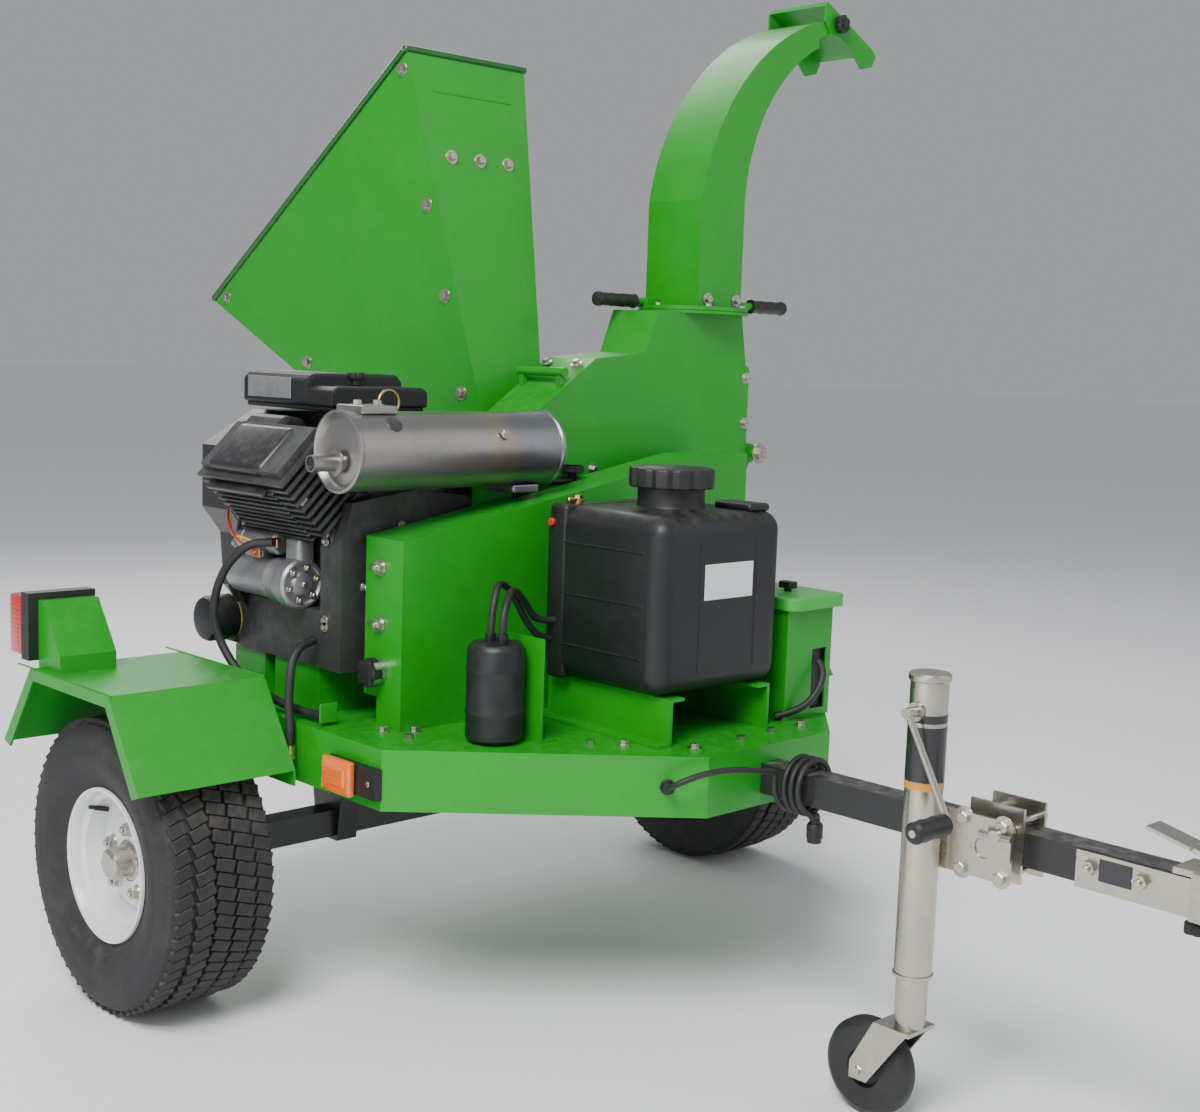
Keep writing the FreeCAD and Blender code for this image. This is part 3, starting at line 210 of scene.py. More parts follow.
@dataclass(frozen=True)
class Finish:
    """One finish of the machine.

    Attributes:
        name: Material name.
        surface: How it is made up.
        colour: Main colour.
        second: Colour of its worn, dusty or tinted patches.
        rough: Mean roughness.
        metallic: Metal share.
        coat: Clear coat weight.
        grain: Fine grain, features per metre.
        relief: Height of the grain in metres.
        dust: Share of dust on faces that look up.
    """

    name: str
    surface: Surface
    colour: Colour
    second: Colour
    rough: float
    metallic: float = 0.0
    coat: float = 0.0
    grain: float = 600.0
    relief: float = 0.00005
    dust: float = 0.0

    def material(self) -> bpy.types.Material:
        """Build the material, or give back the one already made.

        Returns:
            The material.
        """
        made = bpy.data.materials.get(self.name)
        if made:
            return made
        made = bpy.data.materials.new(self.name)
        graph = Graph(made)
        spot = graph.add("ShaderNodeTexCoord", {}, {}, "Object")
        cloud = graph.noise(spot, 9.0, 5.0)
        patch = graph.noise(spot, 55.0, 6.0, 0.62)
        grain = graph.noise(spot, self.grain, 2.0)
        base = (*self.colour, 1.0)
        second = (*self.second, 1.0)
        mottle = graph.step(cloud * 0.6 + patch * 0.4, 0.42, 0.66)
        colour = graph.blend(mottle * self._mottle(), base, second)
        rough = self.rough + (cloud - 0.5) * 0.22 + (patch - 0.5) * 0.16
        height = grain
        if self.surface is Surface.CAST:
            pits = graph.add("ShaderNodeTexVoronoi", {}, {"Vector": spot, "Scale": 420.0})
            height = grain * 0.7 + pits * 0.5
            colour = graph.blend(graph.step(pits, 0.1, 0.5) * 0.25, colour, second)
        elif self.surface is Surface.HEAT:
            along = graph.add("ShaderNodeSeparateXYZ", {}, {0: spot}, 1)
            tide = along * 6.0 + cloud * 1.3 + 1.4
            tint = graph.add("ShaderNodeValToRGB", {"stops": (
                (0.0, (0.36, 0.345, 0.33)), (1.0, (0.27, 0.285, 0.31)), (0.35, (0.44, 0.37, 0.27)),
                (0.6, (0.33, 0.27, 0.27)), (0.75, (0.23, 0.26, 0.33)))}, {0: tide.clamped()})
            colour = graph.blend(0.75, colour, tint)
        elif self.surface is Surface.METAL:
            brush = graph.add("ShaderNodeMapping", {}, {"Vector": spot, "Scale": (1.0, 1.0, 30.0)})
            streak = graph.noise(brush, 40.0, 3.0)
            rough = rough + (streak - 0.5) * 0.2
            colour = graph.blend((streak - 0.45).clamped() * 0.8, colour, second)
        elif self.surface is Surface.LENS:
            rib = graph.add("ShaderNodeTexWave", {"bands_direction": "Z"},
                            {"Vector": spot, "Scale": 40.0})
            height = rib
        elif self.surface is Surface.PAINT:
            speck = graph.step(graph.noise(spot, 260.0, 3.0), 0.70, 0.76)
            scuff = speck * graph.step(cloud, 0.55, 0.7)
            colour = graph.blend(scuff * 0.35, colour, (0.32, 0.33, 0.28, 1.0))
            rough = rough + scuff * 0.25
        if self.dust > 0.0:
            facing = graph.add("ShaderNodeNewGeometry", {}, {}, "Normal")
            upward = graph.add("ShaderNodeSeparateXYZ", {}, {0: facing}, 2)
            film = graph.step(upward, 0.2, 1.0) * graph.step(patch, 0.36, 0.7) * self.dust
            colour = graph.blend(film, colour, (0.36, 0.33, 0.27, 1.0))
            rough = rough + film * 0.5
        bump = graph.add("ShaderNodeBump", {}, {"Height": height, "Strength": 0.45,
                                                "Distance": self.relief})
        sockets = {"Base Color": colour, "Roughness": rough.clamped(), "Metallic": self.metallic,
                   "Coat Weight": self.coat, "Coat Roughness": 0.12, "Normal": bump}
        if self.surface is Surface.LENS:
            sockets["IOR"] = 1.49
        shader = graph.add("ShaderNodeBsdfPrincipled", {}, sockets)
        end = graph.tree.nodes.new("ShaderNodeOutputMaterial")
        graph.tree.links.new(shader.socket, end.inputs[0])
        return made

    def _mottle(self) -> float:
        """Strength of the broad patches for this kind of surface."""
        strong = {Surface.PAINT: 0.35, Surface.PLASTIC: 0.5, Surface.LENS: 0.2}
        return strong.get(self.surface, 0.75)


GREEN = Finish("green_powder_coat", Surface.PAINT, (0.004, 0.27, 0.008), (0.007, 0.34, 0.014), 0.40,
               coat=0.12, grain=900.0, relief=0.00003, dust=0.05)
DARK_GREEN = Finish("dark_green_edge", Surface.PAINT, (0.004, 0.10, 0.008), (0.008, 0.15, 0.012),
                    0.35, coat=0.3, grain=900.0)
LID_GREEN = Finish("light_green_paint", Surface.PAINT, (0.02, 0.38, 0.03), (0.03, 0.45, 0.05), 0.38,
                   coat=0.3, grain=900.0, relief=0.00003, dust=0.15)
FRAME_BLACK = Finish("black_frame_paint", Surface.PAINT, (0.014, 0.014, 0.015), (0.03, 0.03, 0.03),
                     0.42, coat=0.15, grain=800.0, dust=0.25)
ENGINE_BLACK = Finish("black_engine_cover", Surface.PAINT, (0.012, 0.012, 0.013),
                      (0.02, 0.02, 0.022), 0.36, coat=0.1, grain=1200.0, dust=0.12)
WHITE = Finish("white_wheel_paint", Surface.PAINT, (0.78, 0.79, 0.79), (0.66, 0.66, 0.64), 0.33,
               coat=0.3, dust=0.15)
ZINC = Finish("zinc_plate", Surface.METAL, (0.46, 0.44, 0.39), (0.62, 0.56, 0.43), 0.30,
              metallic=0.95, grain=500.0)
STEEL = Finish("bright_steel", Surface.METAL, (0.56, 0.56, 0.57), (0.40, 0.40, 0.41), 0.30,
               metallic=1.0)
MUFFLER_STEEL = Finish("muffler_steel", Surface.HEAT, (0.38, 0.37, 0.36), (0.28, 0.27, 0.27), 0.36,
                       metallic=0.95)
CAST_GREY = Finish("dark_casting", Surface.CAST, (0.045, 0.045, 0.047), (0.13, 0.13, 0.13), 0.48,
                   metallic=0.6, relief=0.0004)
ALLOY = Finish("cast_alloy", Surface.CAST, (0.42, 0.43, 0.44), (0.27, 0.27, 0.28), 0.46,
               metallic=0.85, relief=0.0003)
TYRE_RUBBER = Finish("tyre_rubber", Surface.RUBBER, (0.018, 0.018, 0.019), (0.045, 0.043, 0.04),
                     0.72, grain=700.0, relief=0.0001, dust=0.2)
RUBBER = Finish("black_rubber", Surface.RUBBER, (0.014, 0.014, 0.014), (0.03, 0.03, 0.03), 0.55,
                grain=1200.0)
TANK_PLASTIC = Finish("black_moulded_plastic", Surface.PLASTIC, (0.007, 0.008, 0.009),
                      (0.013, 0.014, 0.015), 0.46, grain=1500.0, relief=0.0001, dust=0.08)
GRIP_PLASTIC = Finish("black_grip_plastic", Surface.PLASTIC, (0.012, 0.012, 0.012),
                      (0.02, 0.02, 0.02), 0.45, grain=1800.0)
RED_LENS = Finish("red_lens", Surface.LENS, (0.55, 0.008, 0.006), (0.4, 0.01, 0.01), 0.14,
                  coat=0.8, relief=0.0005)
AMBER_LENS = Finish("amber_lens", Surface.LENS, (0.85, 0.16, 0.01), (0.7, 0.12, 0.01), 0.14,
                    coat=0.8, relief=0.0005)
BRASS = Finish("brass_fitting", Surface.METAL, (0.68, 0.47, 0.17), (0.55, 0.36, 0.12), 0.30,
               metallic=1.0)
COPPER = Finish("copper_terminal", Surface.METAL, (0.70, 0.33, 0.17), (0.5, 0.2, 0.1), 0.35,
                metallic=1.0)
AMBER_BAND = Finish("orange_band", Surface.PLASTIC, (0.75, 0.30, 0.03), (0.6, 0.24, 0.03), 0.4)
LABEL_WHITE = Finish("blank_white_plate", Surface.PLASTIC, (0.72, 0.73, 0.74), (0.66, 0.67, 0.67),
                     0.40, dust=0.1)
LABEL_BLACK = Finish("blank_black_plate", Surface.PLASTIC, (0.02, 0.02, 0.022), (0.03, 0.03, 0.03),
                     0.35, coat=0.2)
RED_WIRE = Finish("red_insulation", Surface.PLASTIC, (0.55, 0.02, 0.015), (0.45, 0.02, 0.02), 0.4)
YELLOW_WIRE = Finish("yellow_insulation", Surface.PLASTIC, (0.75, 0.55, 0.03), (0.6, 0.45, 0.03),
                     0.4)
FILTER_GOLD = Finish("filter_end_paint", Surface.PAINT, (0.62, 0.42, 0.10), (0.5, 0.35, 0.1), 0.35,
                     metallic=0.4, coat=0.2)


# ---- shapes ------------------------------------------------------------------------------


class Axis(Enum):
    """Direction of a turned piece or of a prism's depth."""

    X = (1.0, 0.0, 0.0)
    Y = (0.0, 1.0, 0.0)
    Z = (0.0, 0.0, 1.0)
    BACK = (-1.0, 0.0, 0.0)
    RIGHT = (0.0, -1.0, 0.0)
    DOWN = (0.0, 0.0, -1.0)


class Shape:
    """A piece being built up in millimetres from the axle."""

    def __init__(self) -> None:
        """Start with nothing."""
        self.mesh = bpy.data.meshes.new("piece")

    def take(self, bm: bmesh.types.BMesh, smooth: bool = True) -> "Shape":
        """Add a finished bmesh to the piece.

        Args:
            bm: The bmesh, freed here.
            smooth: Whether its faces are shaded smooth.

        Returns:
            This shape.
        """
        for face in bm.faces:
            face.smooth = smooth
        bm.from_mesh(self.mesh)
        bm.to_mesh(self.mesh)
        bm.free()
        return self

    def block(self, x: Sequence[float], y: Sequence[float], z: Sequence[float],
              round_off: float = 1.0, segments: int = 2, turn: Matrix | None = None) -> "Shape":
        """Add a box with rounded edges.

        Args:
            x: From and to, ahead of the axle.
            y: From and to, left of the middle.
            z: From and to, above the ground.
            round_off: Width of the rounding.
            segments: Steps of the rounding.
            turn: Turn about the box's middle.

        Returns:
            This shape.
        """
        bm = bmesh.new()
        bmesh.ops.create_cube(bm, size=1.0)
        size = Vector((x[1] - x[0], y[1] - y[0], z[1] - z[0]))
        bmesh.ops.scale(bm, vec=size, verts=bm.verts)
        if round_off > 0.0:
            bmesh.ops.bevel(bm, geom=bm.edges[:], offset=round_off, segments=segments,
                            profile=0.5, affect="EDGES", material=-1)
        if turn is not None:
            bmesh.ops.transform(bm, matrix=turn, verts=bm.verts)
        middle = Vector(((x[0] + x[1]) / 2, (y[0] + y[1]) / 2, (z[0] + z[1]) / 2))
        bmesh.ops.translate(bm, vec=middle, verts=bm.verts)
        return self.take(bm, smooth=round_off > 4.0)

    def lathe(self, centre: Point, axis: Axis | Vector, profile: Iterable[tuple[float, float]],
              steps: int = 48, closed: bool = False) -> "Shape":
        """Turn a profile round an axis.

        Args:
            centre: Point on the axis that the profile's distances start from.
            axis: Direction of the axis.
            profile: Pairs of radius and distance along the axis.
            steps: Facets round the axis.
            closed: Whether the profile's end joins its start, as in a ring.

        Returns:
            This shape.
        """
        bm = bmesh.new()
        points = [bm.verts.new((radius, 0.0, along)) for radius, along in profile]
        edges = [bm.edges.new(pair) for pair in zip(points, points[1:])]
        if closed:
            edges.append(bm.edges.new((points[-1], points[0])))
        bmesh.ops.spin(bm, geom=points + edges, cent=(0, 0, 0), axis=(0, 0, 1), dvec=(0, 0, 0),
                       angle=math.tau, steps=steps, use_merge=True, use_duplicate=False)
        bmesh.ops.remove_doubles(bm, verts=bm.verts, dist=0.005)
        bmesh.ops.recalc_face_normals(bm, faces=bm.faces)
        self._set_along(bm, centre, axis)
        return self.take(bm)

    @staticmethod
    def _set_along(bm: bmesh.types.BMesh, centre: Point, axis: Axis | Vector) -> None:
        """Move a bmesh made round Z so that it stands at a centre, along an axis."""
        way = Vector(axis.value) if isinstance(axis, Axis) else axis
        turn = Vector((0, 0, 1)).rotation_difference(way.normalized()).to_matrix().to_4x4()
        bmesh.ops.transform(bm, matrix=Matrix.Translation(Vector(centre)) @ turn, verts=bm.verts)

    def rod(self, centre: Point, axis: Axis | Vector, radius: float, length: float,
            round_off: float = 0.8, steps: int = 32) -> "Shape":
        """Add a round bar with broken edges.

        Args:
            centre: Middle of its near end.
            axis: Direction it runs in.
            radius: Its radius.
            length: Its length.
            round_off: Width of the broken edges.
            steps: Facets round it.

        Returns:
            This shape.
        """
        inner = radius - round_off
        return self.lathe(centre, axis, ((0.0, 0.0), (inner, 0.0), (radius, round_off),
                                         (radius, length - round_off), (inner, length),
                                         (0.0, length)), steps)

    def bolt(self, centre: Point, axis: Axis | Vector, width: float, height: float,
             washer: bool = True) -> "Shape":
        """Add a hexagon head on a washer.

        Args:
            centre: Middle of the seat.
            axis: Direction away from the seat.
            width: Across the flats.
            height: Height of the head.
            washer: Whether a washer lies under it.

        Returns:
            This shape.
        """
        low = 0.0
        if washer:
            self.rod(centre, axis, width * 0.95, 1.6, 0.3, 20)
            low = 1.6
        bm = bmesh.new()
        bmesh.ops.create_cone(bm, cap_ends=True, segments=6, radius1=width * 0.577,
                              radius2=width * 0.577, depth=height)
        bmesh.ops.translate(bm, vec=(0, 0, low + height / 2), verts=bm.verts)
        rim = [edge for edge in bm.edges if all(v.co.z > low + height / 2 for v in edge.verts)]
        bmesh.ops.bevel(bm, geom=rim, offset=width * 0.07, segments=1, profile=0.5,
                        affect="EDGES", material=-1)
        self._set_along(bm, centre, axis)
        return self.take(bm, smooth=False)

    def prism(self, outline: Iterable[tuple[float, float]], depth: tuple[float, float],
              axis: Axis, round_off: float = 0.0) -> "Shape":
        """Add a flat outline drawn out along an axis.

        Args:
            outline: Corners, as the two other coordinates in the order X, Y, Z.
            depth: From and to along the axis.
            axis: X, Y or Z.
            round_off: Width of the rounding of every edge.

        Returns:
            This shape.
        """
        bm = bmesh.new()
        low, high = depth
        spots = {Axis.X: lambda u, v: (low, u, v), Axis.Y: lambda u, v: (u, low, v),
                 Axis.Z: lambda u, v: (u, v, low)}
        face = bm.faces.new([bm.verts.new(spots[axis](u, v)) for u, v in outline])
        made = bmesh.ops.extrude_face_region(bm, geom=[face])
        moved = [item for item in made["geom"] if isinstance(item, bmesh.types.BMVert)]
        bmesh.ops.translate(bm, vec=Vector(axis.value) * (high - low), verts=moved)
        bmesh.ops.recalc_face_normals(bm, faces=bm.faces)
        if round_off > 0.0:
            bmesh.ops.bevel(bm, geom=bm.edges[:], offset=round_off, segments=2, profile=0.5,
                            affect="EDGES", material=-1)
        return self.take(bm, smooth=False)

    def lobed(self, centre: Point, axis: Axis | Vector, radius: float, height: float,
              lobes: int, depth: float) -> "Shape":
        """Add a knob or cap with fingers round its edge.

        Args:
            centre: Middle of its near face.
            axis: Direction away from what it is fixed to.
            radius: Radius to the tips.
            height: Its height.
            lobes: Number of fingers.
            depth: Depth of the hollows between them.

        Returns:
            This shape.
        """
        bm = bmesh.new()
        count = lobes * 8
        bmesh.ops.create_cone(bm, cap_ends=True, segments=count, radius1=radius, radius2=radius,
                              depth=height)
        for vert in bm.verts:
            angle = math.atan2(vert.co.y, vert.co.x)
            pull = depth * max(0.0, -math.cos(lobes * angle)) ** 1.5
            vert.co.xy = vert.co.xy * (1.0 - pull / radius)
        rim = [edge for edge in bm.edges if abs(edge.verts[0].co.z - edge.verts[1].co.z) < 0.01]
        bmesh.ops.bevel(bm, geom=rim, offset=height * 0.12, segments=3, profile=0.5,
                        affect="EDGES", material=-1)
        bmesh.ops.translate(bm, vec=(0, 0, height / 2), verts=bm.verts)
        self._set_along(bm, centre, axis)
        return self.take(bm)

    def piece(self, name: str, finish: Finish, body: str, slot: str,
              replaces: Sequence[str] = ()) -> bpy.types.Object:
        """Finish the shape as a piece of the machine.

        Args:
            name: Name of the piece.
            finish: Its finish.
            body: Body it moves with.
            slot: Material slot of the record; not used.
            replaces: Nodes it stands for.

        Returns:
            The piece.
        """
        self.mesh.transform(Matrix.Scale(0.001, 4) @ Matrix.Translation((AXLE_X, MIDDLE_Y, 0)))
        self.mesh.name = name
        made = bpy.data.objects.new(name, self.mesh)
        bpy.context.scene.collection.objects.link(made)
        made.data.materials.clear()
        made.data.materials.append(finish.material())
        sharp = made.modifiers.new("edge_split", "EDGE_SPLIT")
        sharp.split_angle = math.radians(32)
        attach(made, body)
        if replaces:
            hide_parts(*replaces)
        LOG.info("piece %s: %d faces on %s", name, len(made.data.polygons), body)
        return made


def line(name: str, runs: Iterable[Sequence[Point]], radius: float, finish: Finish, body: str,
         replaces: Sequence[str] = ()) -> bpy.types.Object:
    """Make wires, pipes or a cord as smooth curves of one thickness.

    Args:
        name: Name of the piece.
        runs: One route in millimetres for each wire.
        radius: Radius in millimetres.
        finish: Its finish.
        body: Body it moves with.
        replaces: Nodes it stands for.

    Returns:
        The curve object.
    """
    curve = bpy.data.curves.new(name, "CURVE")
    curve.dimensions = "3D"
    curve.bevel_depth = radius / MM_PER_METRE
    curve.bevel_resolution = 4
    curve.resolution_u = 10
    curve.use_fill_caps = True
    for route in runs:
        spline = curve.splines.new("NURBS")
        spline.points.add(len(route) - 1)
        for point, spot in zip(spline.points, route):
            point.co = (*place(spot), 1.0)
        spline.order_u = 3
        spline.use_endpoint_u = True
    made = bpy.data.objects.new(name, curve)
    bpy.context.scene.collection.objects.link(made)
    made.data.materials.append(finish.material())
    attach(made, body)
    if replaces:
        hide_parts(*replaces)
    LOG.info("line %s on %s", name, body)
    return made


def dress(nodes: dict[str, bpy.types.Object], finishes: dict[str, Finish]) -> None:
    """Give nodes of the frame their finishes.

    Args:
        nodes: The frame's nodes by name.
        finishes: A finish for each node's name.
    """
    for name, finish in finishes.items():
        nodes[name].data.materials.clear()
        nodes[name].data.materials.append(finish.material())
        LOG.info("node %s dressed in %s", name, finish.name)


NODE_FINISHES = {
    "deck": GREEN, "underframe": FRAME_BLACK, "axle_beam": FRAME_BLACK, "fenders": GREEN,
    "lamp_housings": GRIP_PLASTIC, "lamp_lenses": RED_LENS, "tongue": FRAME_BLACK,
    "coupler_channel": ZINC, "coupler_body": ZINC, "coupler_latch": ZINC, "jack_bracket": ZINC,
    "jack_tube": ZINC, "jack_leg": ZINC, "crank_handle": ZINC, "jack_pin": ZINC,
    "caster_fork": ZINC, "caster_wheel": RUBBER, "rotor": STEEL, "knives": STEEL,
    "bearings": CAST_GREY, "lower_housing": GREEN, "anvil": STEEL, "upper_housing": GREEN,
    "discharge_chute": GREEN, "deflector": GREEN, "deflector_knob": GRIP_PLASTIC,
    "hopper": GREEN, "feed_curtain": RUBBER, "drive_pulley": CAST_GREY,
    "driven_pulley": CAST_GREY, "v_belts": RUBBER, "tension_arm": FRAME_BLACK,
    "idler_pulley": STEEL, "belt_guard": GREEN, "fasteners": ZINC,
    "engine_base": GREEN,
    "engine_block": CAST_GREY, "cylinders": CAST_GREY, "blower_housing": ENGINE_BLACK,
    "intake": ENGINE_BLACK, "crankshaft": STEEL, "starter_motor": ALLOY, "brackets": GREEN,
    "canister": TANK_PLASTIC, "battery_box": GREEN, "battery_lid": LID_GREEN,
    "battery": TANK_PLASTIC, "hoses_and_cable": RUBBER, "drain_valve": BRASS,
    "harness_grommet": RUBBER, "harness_lead": RUBBER, "harness_coil": RUBBER,
    "harness_plug": GRIP_PLASTIC,
}


# ---- sub-assemblies ----------------------------------------------------------------------


@dataclass
class Wheel:
    """A trailer wheel: grooved tyre on a pressed rim with its nuts, cap and valve.

    Attributes:
        side: 1 for left, -1 for right.
        label: Word for the side in names.
        middle: Distance of the wheel's middle from the machine's middle.
        height: Height of the axle.
        radius: Radius of the tread.
        half: Half the tyre's width.
        rim: Radius of the rim's edge.
        groove: Depth of the tread.
        blocks: Tread blocks in one row.
    """

    side: int
    label: str
    middle: float = 719.5
    height: float = 256.0
    radius: float = 256.0
    half: float = 101.0
    rim: float = 132.0
    groove: float = 7.5
    blocks: int = 68

    def _centre(self, out: float = 0.0) -> Point:
        """Point on the wheel's axis.

        Args:
            out: Distance outwards from the middle of the tyre.

        Returns:
            The point.
        """
        return (0.0, self.side * (self.middle + out), self.height)

    @property
    def _axis(self) -> Axis:
        """Axis pointing away from the machine."""
        return Axis.Y if self.side > 0 else Axis.RIGHT

    def build(self) -> None:
        """Build the tyre and the wheel in place of their plain nodes."""
        r, h = self.radius, self.half
        base = r - self.groove
        side_wall = ((base - 1, h - 17), (r - 15, h - 7), (r - 26, h - 2), (r - 48, h),
                     (r - 58, h - 1.4), (r - 62, h), (r - 80, h - 2.5), (r - 98, h - 9),
                     (r - 112, h - 18), (self.rim - 1, h - 22), (self.rim - 8, h - 30))
        inner_wall = tuple((radius, -along) for radius, along in reversed(side_wall))
        tyre = Shape().lathe(self._centre(), self._axis, inner_wall + side_wall, 96, closed=True)
        for row, across in enumerate((-74.0, -37.0, 0.0, 37.0, 74.0)):
            self._tread_row(tyre, across, 0.5 * (row % 2), row in (0, 4))
        tyre.piece(f"tyre_{self.label}_treaded", TYRE_RUBBER, f"{self.label}_wheel", "tyre",
                   (f"tyre_{self.label}",))
        self._build_rim()

    def _tread_row(self, tyre: Shape, across: float, shift: float, shoulder: bool) -> None:
        """Lay one row of tread blocks round the tyre.

        Args:
            tyre: The tyre being built.
            across: Middle of the row, outwards from the tyre's middle.
            shift: Share of a block that the row is moved round by.
            shoulder: Whether the row is at the tyre's edge.
        """
        r, pitch = self.radius, math.tau / self.blocks
        long = 0.5 * pitch * r - 1.6
        wide = 15.0 if shoulder else 16.5
        drop = 3.0 if shoulder else 0.0
        for index in range(self.blocks):
            turn = Matrix.Rotation(pitch * (index + shift), 4, "Y")
            skew = turn @ Matrix.Rotation(math.radians(18 if across > 0 else -18), 4, "Z")
            spot = turn @ Vector((0.0, 0.0, r - 5.3 - drop)) + Vector(self._centre(across))
            tyre.block((spot.x - long, spot.x + long), (spot.y - wide, spot.y + wide),
                       (spot.z - 4.6, spot.z + 4.6), 1.2, 1, skew)

    def _build_rim(self) -> None:
        """Build the pressed rim, hub, nuts, cap and valve stem."""
        h, rim = self.half, self.rim
        profile = ((rim - 7, h - 29), (rim + 1, h - 20), (rim, h - 15), (rim - 5, h - 15),
                   (rim - 9, h - 20), (rim - 12, h - 34), (rim - 20, h - 40), (rim - 24, h - 74),
                   (92, h - 82), (80, h - 68), (58, h - 62), (36, h - 62), (36, h - 66),
                   (60, h - 66), (82, h - 73), (92, h - 87), (rim - 21, h - 78),
                   (rim - 14, h - 44))
        disc = Shape().lathe(self._centre(), self._axis, profile, 72, closed=True)
        disc.piece(f"rim_{self.label}", WHITE, f"{self.label}_wheel", "white_paint",
                   (f"wheel_{self.label}",))
        hub = Shape().lathe(self._centre(h - 64), self._axis,
                            ((0, 42), (20, 42), (26, 38), (29, 30), (29, 4), (36, 0), (36, -20),
                             (0, -20)), 40)
        for index in range(5):
            angle = math.tau * (index + 0.2) / 5
            spot = self._centre(h - 62)
            at = (57 * math.cos(angle), spot[1], spot[2] + 57 * math.sin(angle))
            hub.lathe(at, self._axis, ((13.5, 0), (10.5, 4), (0, 4)), 20)
            hub.bolt(at, self._axis, 19, 14, washer=False)
            tip = (at[0], at[1] + self.side * 14, at[2])
            hub.rod(tip, self._axis, 5.5, 4, 1.2, 16)
        hub.piece(f"hub_nuts_{self.label}", ZINC, f"{self.label}_wheel", "zinc")
        valve = Shape().rod((-70, self._centre(h - 62)[1], self.height + 74),
                            Vector((-0.25, self.side, 0.25)), 4.5, 26, 1, 16)
        valve.rod((-76.2, self._centre(h - 37)[1], self.height + 80.2),
                  Vector((-0.25, self.side, 0.25)), 3.6, 9, 1, 16)
        valve.piece(f"valve_{self.label}", RUBBER, f"{self.label}_wheel", "rubber")


@dataclass
class Exhaust:
    """Muffler drum across the engine, its pipes, pads and outlet.

    Attributes:
        x: Axis ahead of the axle.
        z: Axis height.
        radius: Drum radius.
        y: Ends of the drum.
    """

    x: float = 287.0
    z: float = 972.0
    radius: float = 67.0
    y: tuple[float, float] = (-543.0, -95.0)

    def build(self) -> None:
        """Build the drum, its rolled rims, the outlet and the pads."""
        r, length = self.radius, self.y[1] - self.y[0]
        drum = ((0, 9), (r - 26, 9), (r - 20, 12), (r - 12, 12), (r - 7, 3), (r - 3, 0),
                (r + 1.5, 1.5), (r + 1.5, 6), (r - 1, 9), (r - 1, length - 9),
                (r + 1.5, length - 6), (r + 1.5, length - 1.5), (r - 3, length),
                (r - 7, length - 3), (r - 12, length - 12), (0, length - 10))
        case = Shape().lathe((self.x, self.y[0], self.z), Axis.Y, drum, 96)
        case.block((self.x - 48, self.x + 28), (-512, -440), (self.z + 62, self.z + 76), 3, 2)
        case.block((self.x - 40, self.x + 36), (-190, -130), (self.z - 76, self.z - 62), 3, 2)
        case.rod((213, -500, 940), Axis.X, 19, 28, 1, 32).rod((213, -170, 930), Axis.X, 19, 28, 1)
        case.lathe((self.x + 1, -594, self.z - 18), Axis.Y,
                   ((14, 0), (14, 66), (11.6, 66), (11.6, 0)), 48, closed=True)
        case.lathe((self.x + 1, -548, self.z - 18), Axis.Y, ((14, 0), (22, 1), (22, 4), (14, 6)),
                   40)
        case.piece("muffler", MUFFLER_STEEL, "chassis", "stainless", ("exhaust",))
        # Painted shade: a flat disc in the black rubber finish, just inside the open outlet pipe,
        # stands for the dark of the bore; no rubber is there.
        dark = Shape().lathe((self.x + 1, -590, self.z - 18), Axis.Y, ((0, 0), (11.4, 0)), 32)
        dark.piece("muffler_bore_painted_shade", RUBBER, "chassis", "stainless")
        spot = Shape()
        spot.rod((self.x + 45.6, -462, self.z + 46.4), Vector((1, 0, 1)), 15, 2.2, 0.8, 40)
        spot.piece("muffler_blank_disc", CAST_GREY, "chassis", "stainless")
        nuts = Shape()
        for y in (-496, -456):
            nuts.bolt((self.x - 10, y, self.z + 76), Axis.Z, 13, 7)
        nuts.rod((self.x + 62, -236, self.z + 30), Axis.X, 9, 6, 1)
        nuts.piece("muffler_bolts", ZINC, "chassis", "zinc")


